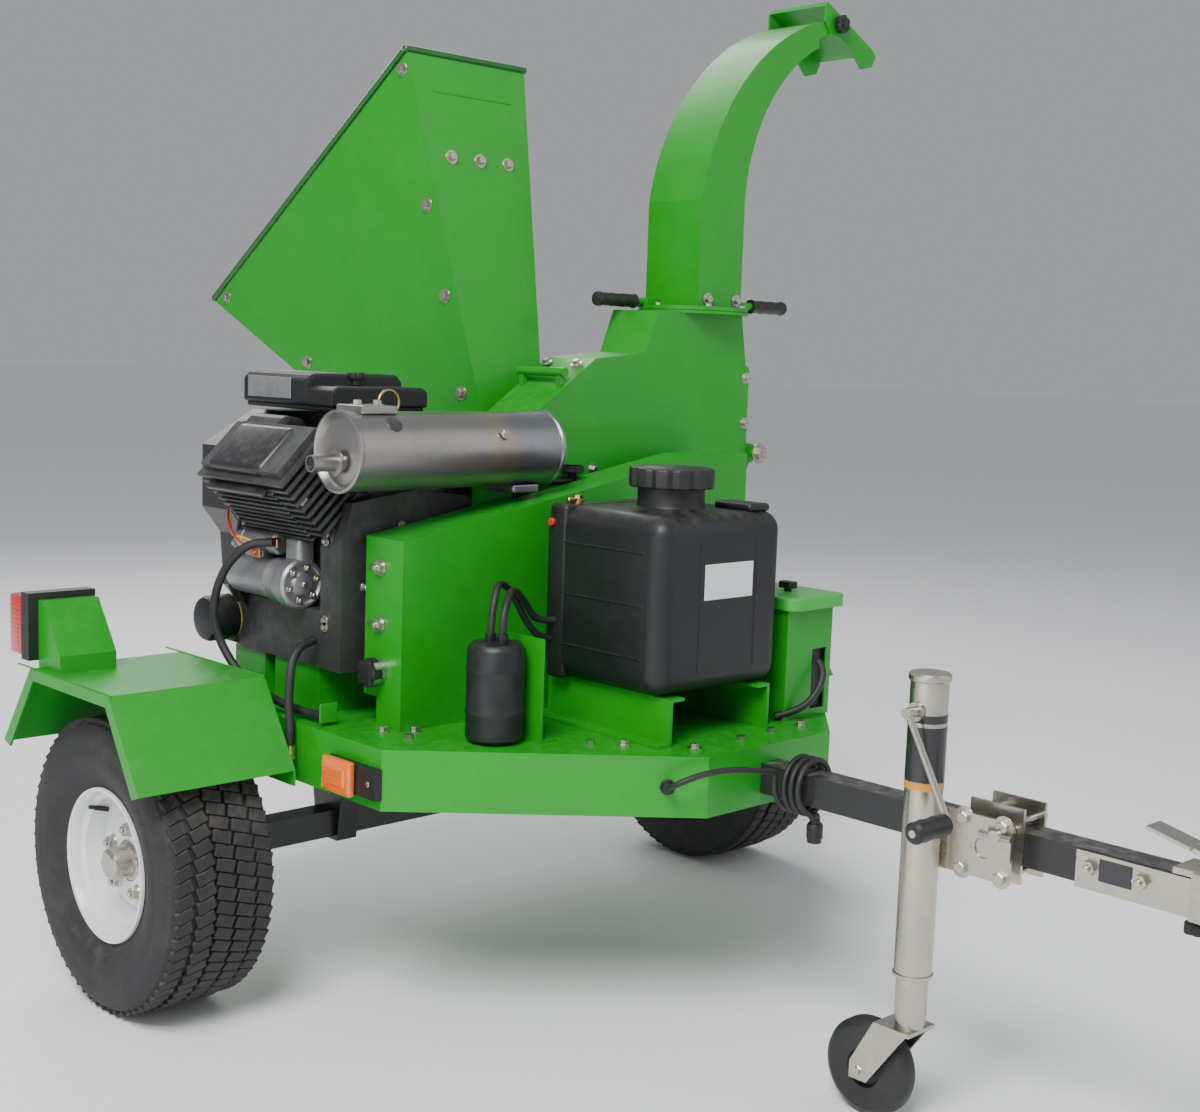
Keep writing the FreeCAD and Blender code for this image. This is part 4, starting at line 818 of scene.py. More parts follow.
@dataclass
class FuelTank:
    """Moulded fuel tank with its strap, filler neck, blank plate and lobed cap.

    Attributes:
        x: From and to ahead of the axle.
        y: From and to left of the middle.
        z: From and to above the ground.
        neck: Filler axis.
    """

    x: tuple[float, float] = (398.0, 692.0)
    y: tuple[float, float] = (-190.0, 118.0)
    z: tuple[float, float] = (586.0, 886.0)
    neck: tuple[float, float] = (575.0, -52.0)

    def build(self) -> None:
        """Build the tank and everything moulded or screwed to it."""
        bm_tank = Shape().block(self.x, self.y, self.z, 34, 6)
        cx, cy = self.neck
        top = self.z[1]
        bm_tank.lathe((cx, cy, top - 4), Axis.Z, ((0, 0), (74, 0), (66, 6), (60, 8), (58, 14),
                                                  (58, 40), (0, 40)), 64)
        for z in (self.z[0] + 62, self.z[0] + 150, self.z[0] + 238):
            bm_tank.block((self.x[0] + 40, self.x[1] - 40), (self.y[0] - 1.5, self.y[0] + 8),
                          (z - 3, z + 3), 2.5, 2)
        bm_tank.block((self.x[0] + 22, self.x[0] + 66), (self.y[0] - 1.8, self.y[1] + 1.8),
                      (self.z[0] - 0.5, top + 1.8), 8, 3)
        for y in (-96, 44):
            bm_tank.block((self.x[1] - 8, self.x[1] + 1.4), (y - 3, y + 3),
                          (self.z[0] + 36, self.z[1] - 40), 2.5, 2)
        bm_tank.block((self.x[0] + 186, self.x[1] - 22), (46, 100), (top - 2, top + 12), 6, 3)
        bm_tank.piece("fuel_tank_moulding", TANK_PLASTIC, "chassis", "black_plastic",
                      ("fuel_tank",))
        cap = Shape().lobed((cx, cy, top + 37), Axis.Z, 74, 34, 12, 5)
        cap.lathe((cx, cy, top + 70), Axis.Z, ((0, 3), (44, 3), (50, 1), (52, -1)), 64)
        cap.piece("fuel_cap_lobed", GRIP_PLASTIC, "filler_cap", "black_plastic", ("fuel_cap",))
        plate = Shape().block((self.x[1] - 1, self.x[1] + 1.2), (-86, 34), (744, 804), 0.5, 1)
        plate.piece("tank_blank_plate", LABEL_WHITE, "chassis", "white_paint")
        vent = Shape().rod((448, -150, top - 2), Axis.Z, 9, 12, 1).rod((448, -150, top + 8),
                                                                       Axis.RIGHT, 5, 26, 1)
        vent.bolt((448, -150, top + 10), Axis.Z, 14, 7, washer=False)
        vent.piece("tank_vent", BRASS, "chassis", "brass")
        valve = Shape().rod((430, -184, top - 30), Axis.RIGHT, 7, 14, 1)
        valve.piece("tank_red_tap", RED_WIRE, "chassis", "black_plastic")


@dataclass
class Engine:
    """Details of the V-twin engine: covers, head covers, fins, starter, wires and filter.

    Attributes:
        crank_y: Crankshaft axis left of the middle.
        crank_z: Crankshaft axis height.
        starter_y: Starter axis left of the middle.
        starter_z: Starter axis height.
        bank: Lean of the right cylinder, in degrees.
    """

    crank_y: float = -330.0
    crank_z: float = 735.0
    starter_y: float = -500.0
    starter_z: float = 732.0
    bank: float = 45.0

    def _cover_ring(self, x: float) -> list[Point]:
        """Places of the bolts round the crankcase cover.

        Args:
            x: Their seat ahead of the axle.

        Returns:
            Ten points.
        """
        angles = [math.tau * turn / 10 for turn in range(10)]
        return [(x, self.crank_y + 112 * math.cos(angle), self.crank_z + 108 * math.sin(angle))
                for angle in angles]

    def build(self) -> None:
        """Build every detail of the engine."""
        self._air_cleaner()
        self._covers()
        self._heads()
        self._castings()
        self._starter()
        self._wires()

    def _air_cleaner(self) -> None:
        """Air cleaner lid with its sloped end, blank plate, knob and lifting eye."""
        top = Shape().prism(((-435, 1036), (-225, 1036), (-225, 1080), (-238, 1093), (-422, 1093),
                             (-435, 1080)), (-170, 40), Axis.X, 5)
        top.prism(((-435, 1036), (-225, 1036), (-225, 1064), (-236, 1072), (-424, 1072),
                   (-435, 1064)), (36, 118), Axis.X, 4)
        top.block((-164, 112), (-430, -230), (1028, 1038), 3)
        top.block((-20, 60), (-372, -288), (902, 1034), 6)
        top.piece("air_cleaner_case", TANK_PLASTIC, "chassis", "black_plastic", ("intake",))
        plate = Shape().block((-150, -10), (-437.2, -434), (1046, 1084), 0.6, 1)
        plate.block((-158, 10), (-418, -330), (1092, 1094.4), 0.8, 1)
        plate.piece("air_cleaner_blank_plate", ALLOY, "chassis", "alloy")
        knob = Shape().rod((40, -330, 1072), Axis.Z, 9, 16, 2).lobed((40, -330, 1084), Axis.Z,
                                                                      15, 12, 6, 2)
        knob.piece("air_cleaner_knob", GRIP_PLASTIC, "chassis", "black_plastic")
        ring = [(22 + 2.5 * math.cos(math.tau * step / 12), 2.5 * math.sin(math.tau * step / 12))
                for step in range(12)]
        eye = Shape().lathe((196, -372, 1048), Axis.X, ring, 40, closed=True)
        eye.block((190, 202), (-384, -360), (1004, 1030), 3)
        eye.piece("lifting_eye", BRASS, "chassis", "brass")

    def _covers(self) -> None:
        """Pressed black covers over the fan and the cylinders."""
        cover = Shape().prism(((-506, 700), (-488, 666), (-470, 690), (-470, 790), (-508, 840),
                               (-508, 955), (-470, 984), (-430, 1000), (-438, 930), (-452, 905),
                               (-452, 760)), (-92, -56), Axis.X, 4)
        cover.prism(((-520, 868), (-506, 842), (-440, 800), (-404, 846), (-450, 896), (-492, 950),
                     (-520, 930)), (-92, 26), Axis.X, 6)
        cover.prism(((-526, 902), (-500, 878), (-418, 960), (-444, 1012), (-482, 1020),
                     (-526, 976)), (-66, 52), Axis.X, 9)
        cover.block((-86, 176), (-262, -150), (936, 1004), 12, 3)
        cover.lathe((-196, self.crank_y, self.crank_z + 60), Axis.X,
                    ((126, -6), (130, 0), (130, 8), (120, 8), (120, -4)), 64, closed=True)
        cover.piece("engine_covers", ENGINE_BLACK, "chassis", "black_plastic")
        mesh_guard = Shape()
        for index in range(9):
            radius = 14 + 12 * index
            mesh_guard.lathe((-190, self.crank_y, self.crank_z + 60), Axis.X,
                             ((radius, 0), (radius + 3, 0), (radius + 3, 3), (radius, 3)), 48,
                             closed=True)
        mesh_guard.block((-190, -187), (self.crank_y - 122, self.crank_y + 122),
                         (self.crank_z + 57, self.crank_z + 63), 0.5, 1)
        mesh_guard.block((-190, -187), (self.crank_y - 3, self.crank_y + 3),
                         (self.crank_z - 62, self.crank_z + 182), 0.5, 1)
        mesh_guard.piece("fan_screen", STEEL, "chassis", "steel")
        plate = Shape().block((-52, 22), (-528.4, -524), (918, 968), 0.8, 1)
        plate.piece("engine_cover_blank_plate", ALLOY, "chassis", "alloy")
        bolts = Shape()
        for x, y, z in ((-50, -521, 884), (24, -521, 884), (-74, -508, 860), (-72, -509, 940),
                        (-74, -490, 740), (-30, -262, 1004), (110, -262, 1004),
                        (-60, -470, 800), (8, -505, 868)):
            bolts.bolt((x, y, z), Axis.RIGHT if z < 1000 else Axis.Z, 10, 6)
        bolts.piece("engine_cover_bolts", ZINC, "chassis", "zinc")

    def _heads(self) -> None:
        """Finned ends of the right cylinder, its rocker cover and its plug."""
        lean = Matrix.Rotation(math.radians(self.bank), 4, "X")
        fins = Shape()
        for index in range(11):
            out = 178 + 11.5 * index
            spot = (lean @ Vector((60, 0, out))) + Vector((0, self.crank_y, self.crank_z))
            fins.block((spot.x - 96, spot.x + 108), (spot.y - 70, spot.y + 70),
                       (spot.z - 1.7, spot.z + 1.7), 1.2, 1, lean)
        fins.piece("cylinder_fins", CAST_GREY, "chassis", "cast")
        rocker = Shape()
        spot = (lean @ Vector((64, 0, 316))) + Vector((0, self.crank_y, self.crank_z))
        rocker.block((spot.x - 84, spot.x + 84), (spot.y - 52, spot.y + 52),
                     (spot.z - 22, spot.z + 18), 12, 4, lean)
        rocker.block((spot.x - 92, spot.x + 92), (spot.y - 60, spot.y + 60),
                     (spot.z - 30, spot.z - 22), 3, 2, lean)
        rocker.piece("rocker_cover", ENGINE_BLACK, "chassis", "cast")
        out = (lean @ Vector((0, 0, 1))).normalized()
        screws = Shape()
        for along in (-78, 78):
            for across in (-48, 48):
                seat = (lean @ Vector((64 + along, across, 296))) + Vector((0, self.crank_y,
                                                                              self.crank_z))
                screws.bolt(tuple(seat), out, 11, 8)
        screws.rod((172, -548, 884), Axis.X, 9, 30, 2).bolt((196, -548, 884), Axis.X, 15, 9)
        screws.piece("head_screws", ZINC, "chassis", "zinc")

    def _castings(self) -> None:
        """Ribs, bosses and bolts on the crankcase's front and right side."""
        case = Shape()
        case.prism(((-452, 610), (-214, 610), (-196, 700), (-196, 800), (-256, 872), (-404, 872),
                    (-464, 800), (-464, 700)), (212, 224), Axis.X, 3)
        for spot in self._cover_ring(218):
            case.rod(spot, Axis.X, 13, 14, 2)
        case.lathe((222, self.crank_y, self.crank_z), Axis.X,
                   ((54, 0), (50, 8), (34, 10), (30, 4), (22, 4), (22, 0)), 56, closed=True)
        for index in range(7):
            case.block((-60 + 38 * index, -54 + 38 * index), (-470, -456), (604, 690), 1.5, 1)
        case.block((168, 214), (-478, -462), (612, 856), 5, 2)
        case.block((172, 206), (-492, -474), (650, 690), 5, 2)
        case.block((174, 204), (-490, -474), (800, 838), 5, 2)
        case.piece("crankcase_ribs", CAST_GREY, "chassis", "cast")
        bolts = Shape()
        for spot in self._cover_ring(232):
            bolts.bolt(spot, Axis.X, 10, 7)
        for z in (664, 676, 812, 826):
            bolts.bolt((188, -492, z), Axis.RIGHT, 9, 5)
        bolts.bolt((190, -478, 716), Axis.RIGHT, 12, 7).bolt((190, -478, 760), Axis.RIGHT, 12, 7)
        bolts.piece("crankcase_bolts", ZINC, "chassis", "zinc")
        filter_end = Shape().lathe((-120, -470, 640), Axis.RIGHT,
                                   ((0, 0), (40, 0), (42, 10), (42, 66), (38, 74), (24, 78),
                                    (0, 78)), 48)
        filter_end.piece("oil_filter_can", TANK_PLASTIC, "chassis", "black_plastic")
        ring = Shape().lathe((-120, -474, 640), Axis.RIGHT,
                             ((42.4, 0), (43.2, 2), (43.2, 16), (42.4, 18)), 48)
        ring.piece("oil_filter_band", FILTER_GOLD, "chassis", "brass")

    def _starter(self) -> None:
        """Starter motor with ribbed end plate, solenoid, strap and terminals."""
        y, z = self.starter_y, self.starter_z
        motor = Shape().lathe((-67, y, z), Axis.X,
                              ((0, 0), (28, 0), (34, 4), (36, 10), (36, 120), (38.5, 124),
                               (38.5, 132), (36, 136), (36, 158), (41, 162), (44, 168), (44, 196),
                               (40, 200), (36, 200), (33, 196), (22, 196), (18, 201), (10, 203),
                               (0, 203)), 64)
        motor.lathe((-60, y, z + 64), Axis.X, ((0, 0), (19, 0), (21, 3), (21, 24), (19, 27),
                                               (19, 98), (21, 101), (21, 122), (17, 128),
                                               (0, 128)), 48)
        motor.block((-34, 22), (y - 14, y + 14), (z + 32, z + 50), 4, 2)
        motor.block((88, 132), (y - 10, y + 26), (z + 30, z + 78), 8, 3)
        motor.piece("starter_case", ALLOY, "chassis", "alloy", ("starter_motor",))
        screws = Shape()
        for index in range(6):
            angle = math.tau * (index + 0.25) / 6
            screws.bolt((132, y + 29 * math.cos(angle), z + 29 * math.sin(angle)), Axis.X, 7, 5)
        screws.rod((134, y, z), Axis.X, 5, 6, 1)
        screws.bolt((-64, y - 14, z + 52), Axis.RIGHT, 9, 5)
        screws.piece("starter_screws", ZINC, "chassis", "zinc")
        posts = Shape().rod((66, y - 6, z + 70), Axis.RIGHT, 5, 20, 1)
        posts.block((48, 82), (y - 22, y - 18), (z + 58, z + 74), 1.2, 1)
        posts.rod((20, y - 14, z + 44), Axis.RIGHT, 4, 16, 1)
        posts.block((6, 34), (y - 26, y - 22), (z + 36, z + 52), 1.2, 1)
        posts.piece("starter_terminals", COPPER, "chassis", "brass")

    def _wires(self) -> None:
        """Spark leads, coil wires and the small loom."""
        line("spark_lead", [[(60, -508, 1004), (44, -536, 990), (20, -540, 930), (-10, -532, 880),
                             (-30, -524, 840), (-60, -512, 800)],
                            [(150, -470, 1010), (164, -430, 1030), (170, -380, 1022),
                             (160, -340, 1000)]], 3.6, RUBBER, "chassis")
        line("red_wire", [[(20, -524, 776), (-6, -540, 790), (-40, -540, 812), (-70, -528, 838),
                           (-84, -512, 870)]], 2.2, RED_WIRE, "chassis")
        line("yellow_wire", [[(30, -522, 790), (0, -538, 804), (-36, -536, 800), (-66, -524, 812),
                              (-86, -512, 832)]], 2.2, YELLOW_WIRE, "chassis")
        line("loom", [[(90, -500, 800), (110, -500, 826), (140, -492, 846), (170, -484, 862),
                       (200, -470, 880), (206, -440, 900)],
                      [(60, -486, 812), (90, -484, 836), (120, -482, 870), (130, -478, 900)]],
             4.0, RUBBER, "chassis")


@dataclass
class Hopper:
    """Edge trims and bolts of the feed hopper.

    Attributes:
        top: Top edge of the mouth, ahead of the axle and above the ground.
        low: Low edge of the mouth.
        middle: Middle of the hopper left of the machine's middle.
        half: Half the mouth's width.
        front_lean: How far the front panel comes forward for each unit down.
        front_out: Direction that the front panel faces.
        front_row: Height of the bolts across the front panel.
    """

    top: tuple[float, float] = (-140.0, 1723.0)
    low: tuple[float, float] = (-848.0, 1238.0)
    middle: float = 57.0
    half: float = 152.0
    front_lean: float = 0.2437
    front_out: Point = (0.976, 0.0, 0.216)
    front_row: float = 1520.0

    def _side(self, along: float, across: float) -> Vector:
        """Point on the right side panel.

        Args:
            along: Share of the way from the throat to the mouth.
            across: Share of the way from the front panel to the low edge.

        Returns:
            The point in millimetres.
        """
        (tx, tz), (lx, lz) = self.top, self.low
        throat = Vector((59.0, self.middle - 69.0, 906.5 - 133.0 * across))
        mouth = Vector((tx + (lx - tx) * across, self.middle - self.half, tz + (lz - tz) * across))
        return throat.lerp(mouth, along)

    def build(self) -> None:
        """Build the rolled edges and the bolts."""
        (tx, tz), (lx, lz) = self.top, self.low
        y0, y1 = self.middle - self.half, self.middle + self.half
        slope = Vector((lx - tx, 0, lz - tz)).normalized()
        lip = Shape()
        reach = Vector((lx - tx, 0, lz - tz)).length
        for y in (y0 - 1, y1 + 1):
            lip.rod((tx + slope.x * 4, y, tz + slope.z * 4), slope, 6.5, reach - 8, 2, 16)
        lip.rod((tx - 1, y0 - 5, tz - 1), Axis.Y, 7, 2 * self.half + 10, 2, 16)
        lip.rod((lx + 7, y0 - 5, lz + 3), Axis.Y, 7, 2 * self.half + 10, 2, 16)
        lip.piece("hopper_rolled_edge", DARK_GREEN, "chassis", "green_paint")
        bolts = Shape()
        for along, across in ((0.97, 0.03), (0.66, 0.06), (0.45, 0.09), (0.24, 0.2), (0.97, 0.96),
                              (0.66, 0.93)):
            seat = self._side(along, across)
            out = (self._side(along + 0.01, across) - seat).cross(
                self._side(along, across + 0.01) - seat).normalized()
            out = out if out.y < 0.0 else -out
            bolts.bolt(tuple(seat), out, 15, 8)
        x = tx + (tz - self.front_row) * self.front_lean
        for share in (-0.62, 0.0, 0.62):
            bolts.bolt((x, self.middle + share * 118, self.front_row), Vector(self.front_out),
                       15, 8)
        bolts.piece("hopper_bolts", ZINC, "chassis", "zinc")


@dataclass
class Housing:
    """Bolts, trims and grips of the rotor housing and the discharge chute.

    Attributes:
        front: Front plate ahead of the axle.
        rear: Rear plate ahead of the axle.
        chute: Swivel axis ahead of the axle, left of the middle, and its flange's height.
    """

    front: float = 200.0
    rear: float = 65.0
    chute: Point = (132.5, 460.0, 1240.0)

    def build(self) -> None:
        """Build the bolts, the flange's ring and the grips."""
        bolts = Shape()
        for y in (-50, 120, 220, 320, 430, 540):
            bolts.bolt((self.front, y, 922), Axis.X, 13, 7)
        for y, z in ((560, 1105), (560, 1010), (-40, 985)):
            bolts.bolt((self.front, y, z), Axis.X, 13, 7)
        for x in (self.rear + 24, self.front - 24):
            bolts.bolt((x, 90, 1124), Vector((0, -0.38, 0.92)), 13, 7)
        bolts.bolt((self.front + 15, 597, 945), Axis.X, 24, 9)
        bolts.piece("housing_bolts", ZINC, "lid_housing", "zinc")
        cx, cy, cz = self.chute
        ring = Shape()
        for turn in range(6):
            angle = math.tau * (turn + 0.5) / 6
            ring.bolt((cx + 104 * math.cos(angle), cy + 104 * math.sin(angle), cz + 6), Axis.Z,
                      12, 7)
        ring.bolt((cx + 76, cy - 40, cz + 24), Axis.X, 14, 8)
        ring.bolt((cx + 76, cy + 48, cz + 24), Axis.X, 14, 8)
        ring.piece("chute_bolts", ZINC, "chute", "zinc")
        grips = Shape()
        for x, y, way in ((cx - 45, 393 - 64, Axis.RIGHT), (cx + 45, 524 + 64, Axis.Y)):
            grips.lathe((x, y, cz + 16), way, ((0, 0), (14.5, 0), (15.5, 3), (13.4, 8), (13.4, 30),
                                               (14.4, 34), (13.4, 38), (13.4, 62), (14.4, 66),
                                               (13.4, 70), (13.4, 94), (15.5, 100), (14, 107),
                                               (8, 109), (0, 109)), 40)
        grips.piece("chute_grip_sleeves", GRIP_PLASTIC, "chute", "black_plastic")
        knob = Shape().lobed((cx + 84, 796, 1867), Axis.X, 19, 15, 6, 3)
        knob.rod((cx + 98, 796, 1867), Axis.X, 9, 4, 1)
        knob.piece("deflector_knob_lobed", GRIP_PLASTIC, "knob", "black_plastic",
                   ("deflector_knob",))


@dataclass
class Drive:
    """Knobs and catches of the belt guard, the release bar and the deck's bolts.

    Attributes:
        end_y: Right end of the guard.
        deck: Height of the deck's top.
        bar: Release bar ahead of the axle and above the ground.
        canister: Vapour canister's axis ahead of the axle and left of the middle.
        spigots: The canister's two hose spigots ahead of the axle.
        foot: Starter cable's far end.
    """

    end_y: float = -453.0
    deck: float = 506.5
    bar: tuple[float, float] = (225.0, 903.0)
    canister: tuple[float, float] = (493.0, -366.0)
    spigots: tuple[float, float] = (478.0, 508.0)
    foot: Point = (246.0, -524.0, 522.0)

    def build(self) -> None:
        """Build the guard's fastenings, the release bar's knob and the deck bolts."""
        knobs = Shape()
        knobs.rod((291, self.end_y, 600), Axis.RIGHT, 12, 12, 2)
        knobs.lobed((291, self.end_y - 9, 600), Axis.RIGHT, 25, 20, 5, 6)
        knobs.piece("guard_lobed_knob", GRIP_PLASTIC, "chassis", "black_plastic")
        studs = Shape()
        for z in (777, 680):
            studs.bolt((292, self.end_y - 0.5, z), Axis.RIGHT, 15, 9)
            studs.rod((292, self.end_y - 9, z), Axis.RIGHT, 5, 7, 1, 16)
            studs.block((262, 292), (self.end_y - 6, self.end_y - 2), (z - 2, z + 2), 1, 1)
        for x, y in ((362, -428), (392, -330), (470, -250), (640, -210), (388, 160), (470, 250),
                     (640, 262), (720, 150), (724, -130), (330, -470)):
            studs.bolt((x, y, self.deck), Axis.Z, 13, 7)
        for x in (-88, -36, 44, 132):
            studs.bolt((x, -478, 590), Axis.Z, 13, 8)
        studs.piece("deck_and_guard_studs", ZINC, "chassis", "zinc")
        bx, bz = self.bar
        bar = Shape().rod((bx, -98, bz), Axis.Y, 7, 156, 2)
        bar.rod((bx, 42, bz), Axis.Z, 8.5, 18, 2).lobed((bx, 42, bz + 16), Axis.Z, 22, 14, 4, 4)
        bar.piece("release_bar_sleeve", GRIP_PLASTIC, "tensioner", "black_plastic")
        can_x, can_y = self.canister
        can = Shape().lathe((can_x, can_y, 512.5), Axis.Z,
                            ((0, 0), (46, 0), (48, 3), (48, 40), (49.5, 43), (49.5, 50), (48, 53),
                             (48, 110), (49.5, 113), (49.5, 120), (48, 123), (48, 148), (44, 156),
                             (40, 159), (0, 159)), 56)
        for x, tall in zip(self.spigots, (16, 18)):
            can.rod((x, can_y, 670), Axis.Z, 9, tall, 1)
        can.piece("canister_body", TANK_PLASTIC, "chassis", "black_plastic", ("canister",))
        line("canister_hose", [[(478, -366, 682), (477, -364, 712), (470, -352, 744),
                                (456, -334, 762), (442, -306, 756), (432, -276, 730),
                                (428, -248, 690), (428, -222, 662), (430, -204, 654),
                                (432, -186, 652)]], 6.0, RUBBER, "chassis")
        line("vapour_hose_end", [[(444, -260, 718.5), (436, -240, 700), (432, -226, 690),
                                  (436, -206, 686), (442, -186, 686)]], 6.2, RUBBER,
             "chassis")
        fx, fy, fz = self.foot
        foot = Shape().block((fx, fx + 4), (fy - 18, fy + 18), (fz - 9.8, fz + 24), 2, 2)
        foot.piece("cable_foot_bracket", GREEN, "chassis", "green_paint")
        boot = Shape().rod((fx - 24, fy, fz), Axis.X, 11, 23.8, 3)
        boot.piece("cable_boot", RUBBER, "chassis", "rubber")


@dataclass
class Lamps:
    """Lenses and bases of the tail and marker lamps.

    Attributes:
        half: Distance of the marker lamps' seats from the middle.
    """

    half: float = 550.0

    def build(self) -> None:
        """Build red tail lenses and amber marker lenses in place of the plain ones."""
        red, amber, pins = Shape(), Shape(), Shape()
        for side in (-1, 1):
            y0, y1 = sorted((side * 748, side * 866))
            red.block((-222, -170), (y0, y1), (595, 700), 7, 3)
            a, b = sorted((side * (self.half + 14), side * (self.half + 28)))
            amber.block((306, 384), (a, b), (420, 478), 5, 3)
            amber.block((318, 372), (a - 2.0, b + 2.0), (431, 467), 4, 3)
            way = Axis.Y if side > 0 else Axis.RIGHT
            pins.rod((418, side * (self.half + 14), 449), way, 5, 3, 1, 20)
            pins.rod((-222, side * 770, 647), Axis.BACK, 3, 1.2, 0.4, 16)
        red.piece("tail_lenses", RED_LENS, "chassis", "lens", ("lamp_lenses",))
        amber.piece("marker_lenses", AMBER_LENS, "chassis", "lens")
        pins.piece("lamp_screws", ZINC, "chassis", "zinc")
        edges = Shape()
        for side in (-1, 1):
            y0, y1 = sorted((side * 580, side * 868))
            for y in (y0 + 3, y1 - 3):
                edges.rod((-188, y, 580.6), Axis.X, 1.6, 330, 0.4, 12)
        edges.piece("fender_edge_weld", GREEN, "chassis", "green_paint")


@dataclass
class Jack:
    """Grip, bands and bolts of the jack, the tongue and the coupler.

    Attributes:
        x: Jack tube ahead of the axle.
        y: Jack tube left of the middle.
        radius: Tube radius.
        crank_z: Height of the crank's shaft.
        crank_arm: Length of the crank's arm.
        crank_way: Share of the arm that goes forward, and down.
        caster: Caster wheel's axle ahead of the axle and above the ground.
    """

    x: float = 1150.0
    y: float = -94.0
    radius: float = 28.5
    crank_z: float = 645.0
    crank_arm: float = 165.0
    crank_way: tuple[float, float] = (0.48, 0.877)
    caster: tuple[float, float] = (1084.0, 76.0)

    def _band(self, shape: Shape, low: float, high: float) -> None:
        """Wrap a thin band round the tube.

        Args:
            shape: Shape that the band joins.
            low: Height of its lower edge.
            high: Height of its upper edge.
        """
        inner, outer = self.radius + 0.1, self.radius + 0.7
        shape.lathe((self.x, self.y, low), Axis.Z,
                    ((inner, 0), (outer, 0), (outer, high - low), (inner, high - low)), 56,
                    closed=True)

    def build(self) -> None:
        """Build the grip, the blank bands, the tube's cap and the coupler's bolts."""
        ex = self.x + self.crank_arm * self.crank_way[0]
        ez = self.crank_z - self.crank_arm * self.crank_way[1]
        grip = Shape().lathe((ex, self.y - 58.6, ez), Axis.RIGHT,
                             ((6, 0), (13, 0), (16, 4), (15.6, 20), (16.6, 26), (15.6, 32),
                              (15.6, 50), (16.6, 56), (15.6, 62), (16, 74), (12, 79), (0, 79)), 40)
        grip.piece("jack_grip_sleeve", GRIP_PLASTIC, "jack_crank", "black_plastic")
        bands = Shape()
        for low, high in ((540, 622), (628, 640)):
            self._band(bands, low, high)
        bands.piece("jack_blank_bands", LABEL_BLACK, "jack", "black_plastic")
        strip = Shape()
        self._band(strip, 528, 539)
        strip.piece("jack_orange_band", AMBER_BAND, "jack", "black_plastic")
        plate = Shape().block((1404, 1454), (-31.3, -30.5), (438, 470), 0.3, 1)
        plate.piece("coupler_blank_plate", LABEL_BLACK, "chassis", "black_plastic")
        catch = Shape().rod((1536, 0, 420), Axis.DOWN, 6, 16, 1).lobed((1536, 0, 408), Axis.DOWN,
                                                                       16, 16, 3, 4)
        catch.piece("coupler_adjuster", GRIP_PLASTIC, "chassis", "black_plastic")
        cap = Shape().lathe((self.x, self.y, 688), Axis.Z,
                            ((0, 0), (30, 0), (31.5, 2), (31.5, 9), (29, 12), (0, 13)), 48)
        cap.lathe((self.x, self.y, 240), Axis.Z, ((29, 0), (30.4, 1), (30.4, 5), (29, 6)), 48,
                  closed=True)
        cap.piece("jack_cap", ZINC, "jack", "zinc")
        bolts = Shape()
        for x in (1204, 1270):
            for z in (414, 490):
                bolts.bolt((x, -63.6, z), Axis.RIGHT, 17, 8)
        for x in (1390, 1468):
            bolts.rod((x, -39.2, 454), Axis.RIGHT, 5, 6, 1, 16)
        bolts.piece("tongue_bolts", ZINC, "chassis", "zinc")
        cx, cz = self.caster
        tyre = Shape().lathe((cx, self.y, cz), Axis.Y,
                             ((30, -20), (64, -20), (72, -15), (75.5, -8), (75.5, 8), (72, 15),
                              (64, 20), (30, 20), (26, 13), (12, 13), (10, 21), (7, 21), (7, -21),
                              (10, -21), (12, -13), (26, -13)), 72, closed=True)
        tyre.piece("caster_tyre", RUBBER, "caster_roller", "rubber", ("caster_wheel",))
        axle = Shape()
        for way, y in ((Axis.Y, self.y + 26), (Axis.RIGHT, self.y - 26)):
            axle.bolt((cx, y, cz), way, 15, 7)
        axle.piece("caster_axle_nuts", ZINC, "caster", "zinc")


